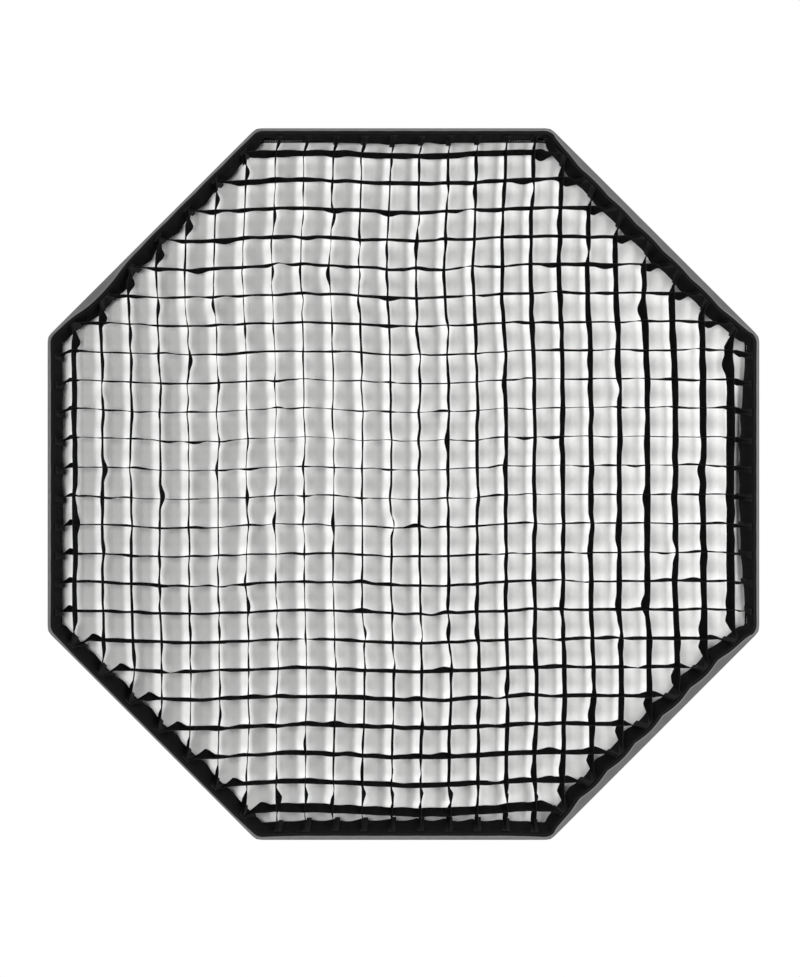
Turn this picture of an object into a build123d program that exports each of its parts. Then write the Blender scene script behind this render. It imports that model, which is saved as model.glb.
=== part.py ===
from build123d import *
from math import acos, atan2, cos, degrees, hypot, radians, sin, tan
import os

# Eight-rod octagonal studio softbox with a recessed front, a peel-off fabric grid and two
# diffusers. It hangs on a studio light by a three-lug bayonet adapter, and turns on it.
#
# Frame: millimetres, +Z up. The softbox's axis lies along Y: the light is on the +Y side and
# the lit front faces -Y. The origin is on the axis, in the seat face of the bayonet adapter.

os.makedirs("parts", exist_ok=True)

# ---------------------------------------------------------------- driving dimensions
# Octagon
SIDES = 8
FRONT_FLATS = 1220.0        # across flats, over the seam piping
FRONT_CORNER_R = 25.0       # rounding of the front's corners
SHELL_DEPTH = 430.0         # adapter seat to the seam piping
SKIRT_DEPTH = 90.0          # seam piping to the front hem
HEM_INSET = 22.0            # the hem stands this far inside the seam, on each side
HEM_BAND = 32.0             # straight part of the skirt, at the hem

# Bayonet adapter
BORE_R = 50.0
SPIGOT_WALL = 8.0
SPIGOT_LENGTH = 10.0
LUG_COUNT = 3
LUG_ARC = 32.0              # degrees round the spigot
LUG_REACH = 5.0
LUG_THICKNESS = 4.0
LUG_TIP_GAP = 0.8           # lug to the spigot's end
SEAT_WIDTH = 7.0
SEAT_RISE = 4.0
PLATE_RIM = 5.0             # the plate's rim round the seat
PLATE_THICKNESS = 5.0

# Speedring
RUN_GAP = 0.3               # adapter to ring, where one turns in the other
RING_WALL = 6.0
RING_DEPTH = 30.0
SHOULDER_WIDTH = 10.3
CLIP_COUNT = 4
CLIP_BITE = 3.0             # clip over the adapter's plate
CLIP_WIDTH = 14.0
CLIP_THICKNESS = 2.0
SCREW_R = 1.5
SCREW_LENGTH = 9.0
SCREW_HEAD_R = 2.75
SCREW_HEAD_HEIGHT = 1.8
SCREW_CLEARANCE = 0.1

# Lock screw
LOCK_SCREW_R = 2.5
LOCK_SCREW_CLEARANCE = 0.06
LOCK_CONTACT_GAP = 0.05     # pad to plate, screw to pad
LOCK_PAD_R = 2.2
LOCK_PAD_LENGTH = 3.0
BOSS_R = 5.5
BOSS_HEIGHT = 8.0
KNOB_GAP = 2.0              # boss to knob when locked
KNOB_R = 12.0
KNOB_HEIGHT = 14.0
KNOB_HUB_R = 6.5
KNOB_HUB_HEIGHT = 4.0
KNOB_LOBES = 6
KNOB_SCALLOP_R = 3.4
KNOB_SCREW_DEPTH = 11.0

# Rods
ROD_R = 3.5
ROD_START_ANGLE = 23.0      # degrees forward of the ring's plane
ROD_SHANK = 40.0            # straight stretch in and near the socket
ROD_SEAT_GAP = 2.0          # rod's end to the sleeve's inner end
ROD_TIP_SETBACK = 14.0      # rod's tip to the seam, along the rod
SOCKET_WALL = 2.55
SOCKET_LENGTH = 34.0
SOCKET_CLEARANCE = 0.15     # rod in sleeve
SOCKET_PRESS_GAP = 0.02     # sleeve in ring
SOCKET_INSET = 4.0          # ring's throat to the sleeve's inner end, along the radius
SOCKET_DROP = 9.2           # adapter's shoulder to the sleeve's inner end, along the axis
CAP_WALL = 1.4
CAP_CLEARANCE = 0.1
CAP_LENGTH = 20.0
CAP_END = 3.0
POCKET_CLEARANCE = 0.3
POCKET_WALL = 1.1
POCKET_LENGTH = 34.0
POCKET_END = 1.2

# Fabric shell
SHELL_THICKNESS = 1.0
SHELL_ROD_GAP = 1.0         # rod sleeves to the shell's inner face at a corner
REAR_GAP = 2.2              # ring to the shell's rear opening
SEAM_GAP = 0.1              # between two panels at a corner
BINDING_WIDTH = 9.0
BINDING_THICKNESS = 0.8
BINDING_GAP = 0.05          # binding over the panels
COLLAR_WIDTH = 20.0         # along the shell, from the rear opening
COLLAR_THICKNESS = 1.2
PIPING_R = 2.0
PIPING_PROUD = 1.0          # the piping stands this far out of the shell

# Skirt, tapes and diffusers
SKIRT_THICKNESS = 1.5
TAPE_THICKNESS = 1.5
TAPE_WIDTH = 25.0
TAPE_SETBACK = 3.0          # hem's edge to the tape
DIFFUSER_SETBACK = 10.0     # seam to the front diffuser
DIFFUSER_THICKNESS = 1.2
DIFFUSER_EDGE_GAP = 0.3
DIFFUSER_TAPE_WIDTH = 20.0
BAFFLE_SETBACK = 215.0      # adapter seat to the inner diffuser
BAFFLE_CORNER_RADIUS = 330.0
BAFFLE_ROUNDING = 15.0
BAFFLE_THICKNESS = 1.2
TAB_WIDTH = 18.0
TAB_THICKNESS = 1.4
TAB_LAP = 24.0              # tab sewn over the inner diffuser
CLIP_RING_WALL = 2.4
CLIP_RING_LENGTH = 16.0
CLIP_RING_CLEARANCE = 0.1
CLIP_LUG_LENGTH = 14.0
CLIP_LUG_WIDTH = 12.0

# Fabric grid
GRID_PITCH = 47.8
GRID_END_CELL = 15.0        # least room between the border and the outermost strip
GRID_DEPTH = 50.0
GRID_SETBACK = 1.5          # hem's edge to the grid's front
STRIP_THICKNESS = 0.8
STRIP_SLOT_GAP = 0.1        # each side of a strip in a half-lap slot
STRIP_END_GAP = 0.1
BORDER_THICKNESS = 1.2
GRID_FIT_GAP = 0.3          # grid's tape to the skirt's tape

# ---------------------------------------------------------------- derived sizes
SIDE_ANGLE = 360.0 / SIDES
HALF_ANGLE = SIDE_ANGLE / 2
CORNER_COS = cos(radians(HALF_ANGLE))
DOWN_ANGLE = -90.0

spigot_r = BORE_R + SPIGOT_WALL
lug_r = spigot_r + LUG_REACH
seat_r = spigot_r + SEAT_WIDTH
plate_r = seat_r + PLATE_RIM
plate_rear_y = -SEAT_RISE
plate_front_y = plate_rear_y - PLATE_THICKNESS

recess_r = plate_r + RUN_GAP
ring_r = recess_r + RING_WALL
throat_r = recess_r - SHOULDER_WIDTH
ring_rear_y = plate_rear_y + RUN_GAP
shoulder_y = plate_front_y - RUN_GAP
ring_front_y = ring_rear_y - RING_DEPTH
lock_y = (plate_rear_y + plate_front_y) / 2

socket_r = ROD_R + SOCKET_CLEARANCE + SOCKET_WALL
shell_standoff = socket_r + SHELL_ROD_GAP + SHELL_THICKNESS
seam_y = -SHELL_DEPTH
hem_y = seam_y - SKIRT_DEPTH
shell_half = FRONT_FLATS / 2 - PIPING_PROUD
hem_half = FRONT_FLATS / 2 - HEM_INSET
panel_front_y = seam_y + PIPING_R + SHELL_THICKNESS
skirt_rear_y = seam_y - PIPING_R


# ---------------------------------------------------------------- shared geometry
def direction(angle):
    """Unit (radius, y) vector that runs forward at an angle from the ring's plane."""
    return cos(radians(angle)), -sin(radians(angle))


def normal(angle):
    """Unit (radius, y) vector out of the shell, for a curve that runs at an angle."""
    return sin(radians(angle)), cos(radians(angle))


def move(point, vector, length):
    """Point moved by a length along a (radius, y) vector."""
    return point[0] + length * vector[0], point[1] + length * vector[1]


START_DIRECTION = direction(ROD_START_ANGLE)
START_NORMAL = normal(ROD_START_ANGLE)

# The shell's outer corner line: a straight stretch over the sockets, then one tangent arc to
# the seam. The rods follow the same line, a stand-off further in.
socket_start = (throat_r + SOCKET_INSET, shoulder_y - SOCKET_DROP)
rod_start = move(socket_start, START_DIRECTION, ROD_SEAT_GAP)
shank_end = move(rod_start, START_DIRECTION, ROD_SHANK)
bend_start = move(shank_end, START_NORMAL, shell_standoff)
seam_corner = (shell_half / CORNER_COS, panel_front_y)
chord_r = seam_corner[0] - bend_start[0]
chord_y = bend_start[1] - seam_corner[1]
half_turn = degrees(atan2(chord_y, chord_r)) - ROD_START_ANGLE
END_ANGLE = ROD_START_ANGLE + 2 * half_turn
bend_r = hypot(chord_r, chord_y) / (2 * sin(radians(half_turn)))
bend_centre = move(bend_start, START_NORMAL, -bend_r)

rear_corner_r = (ring_r + REAR_GAP) / CORNER_COS
rear_run = (bend_start[0] - rear_corner_r) / START_DIRECTION[0]


def bend_point(offset, angle):
    """Point of the bend at a tangent angle, offset outwards from the shell's outer face."""
    return move(bend_centre, normal(angle), bend_r + offset)


def corner_plane(angle):
    """Plane through the axis at an angle round it: local x is the radius, local y is +Y."""
    a = radians(angle)
    return Plane(origin=(0, 0, 0), x_dir=(cos(a), 0, sin(a)), z_dir=(-sin(a), 0, cos(a)))


def point_at(angle, radius, y):
    """Space point at an angle round the axis, a radius and a y."""
    a = radians(angle)
    return Vector(radius * cos(a), y, radius * sin(a))


def vector_at(angle, vector):
    """Space vector for a (radius, y) vector at an angle round the axis."""
    return point_at(angle, vector[0], vector[1])


def corner_angles():
    """Angles of the rods and corners."""
    return [HALF_ANGLE + SIDE_ANGLE * k for k in range(SIDES)]


def flat_angles():
    """Angles of the panels' middles."""
    return [SIDE_ANGLE * k for k in range(SIDES)]


def octagon(half, y, corner_r):
    """Octagon across flats of twice half, with rounded corners, in the plane at y."""
    with BuildSketch(Plane.XZ.offset(-y)) as outline:
        RegularPolygon(half, SIDES, major_radius=False, rotation=HALF_ANGLE)
        fillet(outline.vertices(), corner_r)
    return outline.sketch


def band(stations, thickness, corner_r):
    """Octagonal band through (half, y) stations of its outer face, with an inner wall."""
    with BuildPart() as ring:
        for (half_a, y_a), (half_b, y_b) in zip(stations, stations[1:]):
            loft(sections=[octagon(half_a, y_a, corner_r), octagon(half_b, y_b, corner_r)], ruled=True)
        for (half_a, y_a), (half_b, y_b) in zip(stations, stations[1:]):
            inner_a = octagon(half_a - thickness, y_a, corner_r - thickness)
            inner_b = octagon(half_b - thickness, y_b, corner_r - thickness)
            loft(sections=[inner_a, inner_b], ruled=True, mode=Mode.SUBTRACT)
    return ring.part


def straight_point(offset, run):
    """Point of the straight stretch, a run along it from the rear opening, offset outwards."""
    start = move(bend_start, START_DIRECTION, run - rear_run)
    return move(start, START_NORMAL, offset)


def flat(point):
    """Corner-line point brought in to the middle of a flat."""
    return point[0] * CORNER_COS, point[1]


def shell_section(flat_angle, inner, outer):
    """Section of a shell layer through a flat's middle, between two offsets from the outer face."""
    ends = []
    with BuildSketch(corner_plane(flat_angle)) as section:
        with BuildLine():
            for offset in (inner, outer):
                rear = flat(straight_point(offset, 0))
                turn = flat(bend_point(offset, ROD_START_ANGLE))
                middle = flat(bend_point(offset, (ROD_START_ANGLE + END_ANGLE) / 2))
                front = flat(bend_point(offset, END_ANGLE))
                Line(rear, turn)
                ThreePointArc(turn, middle, front)
                ends.append((rear, front))
            Line(ends[0][0], ends[1][0])
            Line(ends[0][1], ends[1][1])
        make_face()
    return section.sketch


def collar_section(flat_angle, inner, outer):
    """Section of the rear collar through a flat's middle."""
    with BuildSketch(corner_plane(flat_angle)) as section:
        with BuildLine():
            Polyline(
                flat(straight_point(inner, 0)),
                flat(straight_point(inner, COLLAR_WIDTH)),
                flat(straight_point(outer, COLLAR_WIDTH)),
                flat(straight_point(outer, 0)),
                close=True,
            )
        make_face()
    return section.sketch


def gore(section, cuts):
    """Section drawn out across its flat and trimmed by (plane, keep) cuts."""
    with BuildPart() as piece:
        reach = FRONT_FLATS / 2 * tan(radians(HALF_ANGLE)) + shell_standoff
        extrude(to_extrude=section.face(), amount=reach, both=True)
        for plane, keep in cuts:
            split(bisect_by=plane, keep=keep)
    return piece.part


def side_cut(flat_angle, side, gap):
    """Plane at a panel's edge, facing the panel, moved into it by gap. side is -1 or +1."""
    edge = flat_angle + side * HALF_ANGLE
    facing = radians(edge - side * 90)
    return Plane(origin=(0, 0, 0), z_dir=(cos(facing), 0, sin(facing))).offset(gap)


def finish(part, name):
    """Label a piece and write it."""
    part.label = name
    export_step(part, f"parts/{name}.step")


# ---------------------------------------------------------------- bayonet adapter
with BuildPart() as bayonet_adapter:
    with BuildSketch(Plane.XZ.offset(-plate_front_y)):
        Circle(plate_r)
    extrude(amount=-PLATE_THICKNESS)
    with BuildSketch(Plane.XZ.offset(-plate_rear_y)):
        Circle(seat_r)
    extrude(amount=-SEAT_RISE)
    with BuildSketch(Plane.XZ):
        Circle(spigot_r)
    extrude(amount=-SPIGOT_LENGTH)
    lug_rear_y = SPIGOT_LENGTH - LUG_TIP_GAP
    with BuildSketch(Plane.XZ.offset(-lug_rear_y)):
        with PolarLocations(0, LUG_COUNT, start_angle=90):
            with BuildLine():
                half_lug = LUG_ARC / 2
                inner_lug_r = spigot_r - SPIGOT_WALL / 2
                CenterArc((0, 0), lug_r, -half_lug, LUG_ARC)
                CenterArc((0, 0), inner_lug_r, -half_lug, LUG_ARC)
                for end in (-half_lug, half_lug):
                    a = radians(end)
                    Line((inner_lug_r * cos(a), inner_lug_r * sin(a)), (lug_r * cos(a), lug_r * sin(a)))
            make_face()
    extrude(amount=LUG_THICKNESS)
    with BuildSketch(Plane.XZ.offset(-plate_front_y)):
        Circle(BORE_R)
    extrude(amount=-(PLATE_THICKNESS + SEAT_RISE + SPIGOT_LENGTH), mode=Mode.SUBTRACT)
finish(bayonet_adapter.part, "bayonet_adapter")


# ---------------------------------------------------------------- speedring and its clips
def clip_angles():
    """Angles of the adapter clips, between the lock screw and the panels' middles."""
    return [45 + 360 / CLIP_COUNT * k for k in range(CLIP_COUNT)]


clip_screw_r = recess_r + RING_WALL / 2
boss_end_r = ring_r + BOSS_HEIGHT
lock_plane = Plane(origin=point_at(DOWN_ANGLE, boss_end_r, lock_y), z_dir=(0, 0, 1))

with BuildPart() as speedring:
    with BuildSketch(Plane.XY):
        with BuildLine():
            Polyline(
                (throat_r, ring_front_y),
                (ring_r, ring_front_y),
                (ring_r, ring_rear_y),
                (recess_r, ring_rear_y),
                (recess_r, shoulder_y),
                (throat_r, shoulder_y),
                close=True,
            )
        make_face()
    revolve(axis=Axis.Y)
    with BuildSketch(lock_plane):
        Circle(BOSS_R)
    extrude(amount=BOSS_HEIGHT + RING_WALL / 2)
    with BuildSketch(lock_plane):
        Circle(LOCK_SCREW_R + LOCK_SCREW_CLEARANCE)
    extrude(amount=BOSS_HEIGHT + RING_WALL + PLATE_RIM, mode=Mode.SUBTRACT)
    for angle in corner_angles():
        sleeve_base = point_at(angle, *socket_start)
        with BuildSketch(Plane(origin=sleeve_base, z_dir=vector_at(angle, START_DIRECTION))):
            Circle(socket_r + SOCKET_PRESS_GAP)
        extrude(amount=SOCKET_LENGTH, mode=Mode.SUBTRACT)
    for angle in clip_angles():
        with BuildSketch(Plane(origin=point_at(angle, clip_screw_r, ring_rear_y), z_dir=(0, -1, 0))):
            Circle(SCREW_R + SCREW_CLEARANCE)
        extrude(amount=SCREW_LENGTH, mode=Mode.SUBTRACT)
finish(speedring.part, "speedring")

clip_inner_r = plate_r - CLIP_BITE
clip_length = ring_r - RING_WALL / 6 - clip_inner_r
with BuildPart() as adapter_clips:
    for angle in clip_angles():
        clip_plane = Plane(
            origin=point_at(angle, clip_inner_r + clip_length / 2, ring_rear_y),
            x_dir=point_at(angle, 1, 0),
            z_dir=(0, 1, 0),
        )
        with BuildSketch(clip_plane):
            RectangleRounded(clip_length, CLIP_WIDTH, SCREW_R)
            with Locations((clip_screw_r - clip_inner_r - clip_length / 2, 0)):
                Circle(SCREW_R + SCREW_CLEARANCE, mode=Mode.SUBTRACT)
        extrude(amount=CLIP_THICKNESS)
finish(adapter_clips.part, "adapter_clips")

with BuildPart() as clip_screws:
    for angle in clip_angles():
        head_plane = Plane(
            origin=point_at(angle, clip_screw_r, ring_rear_y + CLIP_THICKNESS),
            z_dir=(0, 1, 0),
        )
        with BuildSketch(head_plane):
            Circle(SCREW_HEAD_R)
        extrude(amount=SCREW_HEAD_HEIGHT)
        with BuildSketch(head_plane):
            Circle(SCREW_R)
        extrude(amount=-SCREW_LENGTH)
finish(clip_screws.part, "clip_screws")

# ---------------------------------------------------------------- lock pad, screw and knob
pad_top_r = plate_r + LOCK_CONTACT_GAP
pad_end_r = pad_top_r + LOCK_PAD_LENGTH
screw_top_r = pad_end_r + LOCK_CONTACT_GAP
knob_top_r = boss_end_r + KNOB_GAP
screw_end_r = knob_top_r + KNOB_SCREW_DEPTH
UP = (0, 0, 1)

with BuildPart() as lock_pad:
    with BuildSketch(Plane(origin=point_at(DOWN_ANGLE, pad_end_r, lock_y), z_dir=UP)):
        Circle(LOCK_PAD_R)
    extrude(amount=LOCK_PAD_LENGTH)
finish(lock_pad.part, "lock_pad")

with BuildPart() as lock_screw:
    with BuildSketch(Plane(origin=point_at(DOWN_ANGLE, screw_end_r, lock_y), z_dir=UP)):
        Circle(LOCK_SCREW_R)
    extrude(amount=screw_end_r - screw_top_r)
    chamfer(lock_screw.edges().group_by(Axis.Z)[-1], LOCK_SCREW_R / 5)
finish(lock_screw.part, "lock_screw")

with BuildPart() as lock_knob:
    with BuildSketch(Plane(origin=point_at(DOWN_ANGLE, knob_top_r + KNOB_HEIGHT, lock_y), z_dir=UP)):
        Circle(KNOB_R)
        with PolarLocations(KNOB_R + KNOB_SCALLOP_R / 3, KNOB_LOBES):
            Circle(KNOB_SCALLOP_R, mode=Mode.SUBTRACT)
    extrude(amount=KNOB_HEIGHT - KNOB_HUB_HEIGHT)
    fillet(lock_knob.edges().group_by(Axis.Z)[0], 1.2)
    with BuildSketch(Plane(origin=point_at(DOWN_ANGLE, knob_top_r + KNOB_HUB_HEIGHT, lock_y), z_dir=UP)):
        Circle(KNOB_HUB_R)
    extrude(amount=KNOB_HUB_HEIGHT)
    with BuildSketch(Plane(origin=point_at(DOWN_ANGLE, screw_end_r, lock_y), z_dir=UP)):
        Circle(LOCK_SCREW_R)
    extrude(amount=KNOB_SCREW_DEPTH, mode=Mode.SUBTRACT)
finish(lock_knob.part, "lock_knob")

# ---------------------------------------------------------------- rod sleeves and rods
with BuildPart() as rod_sockets:
    for angle in corner_angles():
        sleeve_base = point_at(angle, *socket_start)
        with BuildSketch(Plane(origin=sleeve_base, z_dir=vector_at(angle, START_DIRECTION))):
            Circle(socket_r)
            Circle(ROD_R + SOCKET_CLEARANCE, mode=Mode.SUBTRACT)
        extrude(amount=SOCKET_LENGTH)
finish(rod_sockets.part, "rod_sockets")

rod_end_angle = END_ANGLE - degrees(ROD_TIP_SETBACK / bend_r)
rod_middle_angle = (ROD_START_ANGLE + rod_end_angle) / 2
rod_tip = bend_point(-shell_standoff, rod_end_angle)
TIP_DIRECTION = direction(rod_end_angle)

for index, angle in enumerate(corner_angles(), start=1):
    with BuildPart() as rod:
        with BuildLine(corner_plane(angle)) as rod_line:
            Line(rod_start, shank_end)
            ThreePointArc(shank_end, bend_point(-shell_standoff, rod_middle_angle), rod_tip)
        rod_plane = Plane(origin=point_at(angle, *rod_start), z_dir=vector_at(angle, START_DIRECTION))
        with BuildSketch(rod_plane):
            Circle(ROD_R)
        sweep(path=rod_line.line)
    finish(rod.part, f"rod_{index}")

cap_r = ROD_R + CAP_CLEARANCE + CAP_WALL
with BuildPart() as rod_tip_caps:
    for angle in corner_angles():
        tip_plane = Plane(origin=point_at(angle, *rod_tip), z_dir=vector_at(angle, TIP_DIRECTION))
        with BuildSketch(tip_plane.offset(CAP_END)):
            Circle(cap_r)
        extrude(amount=-CAP_LENGTH)
        with BuildSketch(tip_plane):
            Circle(ROD_R + CAP_CLEARANCE)
        extrude(amount=-CAP_LENGTH, mode=Mode.SUBTRACT)
finish(rod_tip_caps.part, "rod_tip_caps")

pocket_r = cap_r + POCKET_CLEARANCE
pocket_end = CAP_END + POCKET_CLEARANCE
with BuildPart() as corner_pockets:
    for angle in corner_angles():
        tip_plane = Plane(origin=point_at(angle, *rod_tip), z_dir=vector_at(angle, TIP_DIRECTION))
        with BuildSketch(tip_plane.offset(pocket_end + POCKET_END)):
            Circle(pocket_r + POCKET_WALL)
        extrude(amount=-POCKET_LENGTH)
        with BuildSketch(tip_plane.offset(pocket_end)):
            Circle(pocket_r)
        extrude(amount=-POCKET_LENGTH, mode=Mode.SUBTRACT)
finish(corner_pockets.part, "corner_pockets")

# ---------------------------------------------------------------- fabric shell
for index, angle in enumerate(flat_angles(), start=1):
    edges = [(side_cut(angle, side, SEAM_GAP / 2), Keep.TOP) for side in (-1, 1)]
    finish(gore(shell_section(angle, -SHELL_THICKNESS, 0), edges), f"shell_panel_{index}")

with BuildPart() as seam_bindings:
    for angle in corner_angles():
        for side in (-1, 1):
            flat_angle = angle - side * HALF_ANGLE
            at_corner = side_cut(flat_angle, side, 0)
            trim = [(at_corner, Keep.TOP), (at_corner.offset(BINDING_WIDTH), Keep.BOTTOM)]
            add(gore(shell_section(flat_angle, BINDING_GAP, BINDING_GAP + BINDING_THICKNESS), trim))
finish(seam_bindings.part, "seam_bindings")

with BuildPart() as rear_collar:
    collar_inner = BINDING_GAP * 2 + BINDING_THICKNESS
    for angle in flat_angles():
        edges = [(side_cut(angle, side, 0), Keep.TOP) for side in (-1, 1)]
        add(gore(collar_section(angle, collar_inner, collar_inner + COLLAR_THICKNESS), edges))
finish(rear_collar.part, "rear_collar")

with BuildPart() as seam_piping:
    with BuildLine(Plane.XZ.offset(-seam_y)) as piping_line:
        corner_reach = (FRONT_FLATS / 2 - PIPING_R) / CORNER_COS
        corners = [(corner_reach * cos(radians(a)), corner_reach * sin(radians(a))) for a in corner_angles()]
        FilletPolyline(*corners, radius=FRONT_CORNER_R, close=True)
    with BuildSketch(Plane(origin=point_at(0, FRONT_FLATS / 2 - PIPING_R, seam_y), z_dir=UP)):
        Circle(PIPING_R)
    sweep(path=piping_line.line)
finish(seam_piping.part, "seam_piping")

# ---------------------------------------------------------------- skirt and its tapes
skirt_bend_y = hem_y + HEM_BAND
skirt_stations = [(shell_half, skirt_rear_y), (hem_half, skirt_bend_y), (hem_half, hem_y)]
finish(band(skirt_stations, SKIRT_THICKNESS, FRONT_CORNER_R), "front_skirt")

tape_half = hem_half - SKIRT_THICKNESS
tape_front_y = hem_y + TAPE_SETBACK
tape_rear_y = tape_front_y + TAPE_WIDTH
tape_corner_r = FRONT_CORNER_R - SKIRT_THICKNESS
tape_stations = [(tape_half, tape_rear_y), (tape_half, tape_front_y)]
finish(band(tape_stations, TAPE_THICKNESS, tape_corner_r), "hem_loop_tape")

# ---------------------------------------------------------------- front diffuser
diffuser_y = seam_y - DIFFUSER_SETBACK
skirt_slope = (shell_half - hem_half) / (skirt_rear_y - skirt_bend_y)
skirt_inner_half = shell_half - (skirt_rear_y - diffuser_y + DIFFUSER_THICKNESS) * skirt_slope - SKIRT_THICKNESS
diffuser_half = skirt_inner_half - DIFFUSER_EDGE_GAP
with BuildPart() as front_diffuser:
    diffuser_face = octagon(diffuser_half, diffuser_y, FRONT_CORNER_R).face()
    extrude(to_extrude=diffuser_face, amount=DIFFUSER_THICKNESS)
finish(front_diffuser.part, "front_diffuser")

diffuser_tape_stations = [(diffuser_half, diffuser_y + TAPE_THICKNESS), (diffuser_half, diffuser_y)]
diffuser_tape = band(diffuser_tape_stations, DIFFUSER_TAPE_WIDTH, FRONT_CORNER_R)
finish(diffuser_tape, "diffuser_edge_tape")

# ---------------------------------------------------------------- inner diffuser and its ties
baffle_rear_y = -BAFFLE_SETBACK
with BuildPart() as inner_diffuser:
    baffle_face = octagon(BAFFLE_CORNER_RADIUS * CORNER_COS, baffle_rear_y, BAFFLE_ROUNDING).face()
    extrude(to_extrude=baffle_face, amount=BAFFLE_THICKNESS)
finish(inner_diffuser.part, "inner_diffuser")

tab_y = baffle_rear_y + TAB_THICKNESS / 2
tie_angle = degrees(acos((tab_y - bend_centre[1]) / (bend_r - shell_standoff)))
tie_point = bend_point(-shell_standoff, tie_angle)
clip_ring_r = ROD_R + CLIP_RING_CLEARANCE + CLIP_RING_WALL
lug_end_r = tie_point[0] - clip_ring_r - CLIP_LUG_LENGTH
tab_start_r = BAFFLE_CORNER_RADIUS - TAB_LAP

with BuildPart() as inner_diffuser_tabs:
    for angle in corner_angles():
        tab_plane = Plane(
            origin=point_at(angle, (tab_start_r + lug_end_r) / 2, baffle_rear_y),
            x_dir=point_at(angle, 1, 0),
            z_dir=(0, 1, 0),
        )
        with BuildSketch(tab_plane):
            Rectangle(lug_end_r - tab_start_r, TAB_WIDTH)
        extrude(amount=TAB_THICKNESS)
finish(inner_diffuser_tabs.part, "inner_diffuser_tabs")

with BuildPart() as rod_clips:
    for angle in corner_angles():
        lug_plane = Plane(
            origin=point_at(angle, (lug_end_r + tie_point[0]) / 2, baffle_rear_y),
            x_dir=point_at(angle, 1, 0),
            z_dir=(0, 1, 0),
        )
        tie_plane = Plane(origin=point_at(angle, *tie_point), z_dir=vector_at(angle, direction(tie_angle)))
        with BuildSketch(lug_plane):
            Rectangle(tie_point[0] - lug_end_r, CLIP_LUG_WIDTH)
        extrude(amount=TAB_THICKNESS)
        with BuildSketch(tie_plane):
            Circle(clip_ring_r)
        extrude(amount=CLIP_RING_LENGTH / 2, both=True)
        with BuildSketch(tie_plane):
            Circle(ROD_R + CLIP_RING_CLEARANCE)
        extrude(amount=CLIP_RING_LENGTH, both=True, mode=Mode.SUBTRACT)
finish(rod_clips.part, "rod_clips")

# ---------------------------------------------------------------- fabric grid
grid_front_y = hem_y + GRID_SETBACK
grid_rear_y = grid_front_y + GRID_DEPTH
grid_middle_y = (grid_front_y + grid_rear_y) / 2
grid_tape_half = tape_half - TAPE_THICKNESS - GRID_FIT_GAP
grid_tape_corner_r = tape_corner_r - TAPE_THICKNESS - GRID_FIT_GAP
grid_tape_stations = [(grid_tape_half, tape_rear_y), (grid_tape_half, tape_front_y)]
finish(band(grid_tape_stations, TAPE_THICKNESS, grid_tape_corner_r), "grid_hook_tape")

border_half = grid_tape_half - TAPE_THICKNESS
border_corner_r = grid_tape_corner_r - TAPE_THICKNESS
border_stations = [(border_half, grid_rear_y), (border_half, grid_front_y)]
finish(band(border_stations, BORDER_THICKNESS, border_corner_r), "grid_border")

cell_half = border_half - BORDER_THICKNESS - STRIP_END_GAP
slot_width = STRIP_THICKNESS + 2 * STRIP_SLOT_GAP
grid_count = 2 * int((cell_half - GRID_END_CELL) / GRID_PITCH + 0.5)
strip_places = [GRID_PITCH * (k - (grid_count - 1) / 2) for k in range(grid_count)]


def strip_reach(place):
    """Half length of a strip at a distance from the grid's middle, clear of the border."""
    straight = cell_half * tan(radians(HALF_ANGLE))
    return cell_half - max(0.0, abs(place) + STRIP_THICKNESS / 2 - straight)


def strip_outline(reach, slot_mouth_y, slot_floor_y, back_y):
    """Comb-shaped outline of one strip: slots open at slot_mouth_y, plain edge at back_y."""
    points = [(-reach, back_y), (reach, back_y), (reach, slot_mouth_y)]
    for crossing in reversed(strip_places):
        if abs(crossing) < reach - GRID_PITCH / 10:
            points += [
                (crossing + slot_width / 2, slot_mouth_y),
                (crossing + slot_width / 2, slot_floor_y),
                (crossing - slot_width / 2, slot_floor_y),
                (crossing - slot_width / 2, slot_mouth_y),
            ]
    return points + [(-reach, slot_mouth_y)]


def strip_group(along, across, slot_mouth_y, slot_floor_y, back_y):
    """Strips that run along one direction, spaced across the other."""
    with BuildPart() as strips:
        for place in strip_places:
            strip_plane = Plane(origin=across * place, x_dir=along, z_dir=along.cross(Vector(0, 1, 0)))
            with BuildSketch(strip_plane):
                with BuildLine():
                    Polyline(*strip_outline(strip_reach(place), slot_mouth_y, slot_floor_y, back_y), close=True)
                make_face()
            extrude(amount=STRIP_THICKNESS / 2, both=True)
    return strips.part


ALONG_X = Vector(1, 0, 0)
ALONG_Z = Vector(0, 0, 1)
uprights = strip_group(ALONG_Z, ALONG_X, grid_front_y, grid_middle_y + STRIP_SLOT_GAP, grid_rear_y)
finish(uprights, "grid_upright_strips")
cross_strips = strip_group(ALONG_X, ALONG_Z, grid_rear_y, grid_middle_y - STRIP_SLOT_GAP, grid_front_y)
finish(cross_strips, "grid_cross_strips")
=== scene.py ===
"""Looks of the eight-rod octagonal studio softbox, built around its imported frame.

The frame's CAD pieces give every size: the cloth is rebuilt as sewn, tensioned sheets over
them, and the rigid pieces keep their shape and get their real finishes.
"""

import logging
import math
from dataclasses import dataclass, field
from enum import Enum
from typing import Callable, Optional, Sequence

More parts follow.
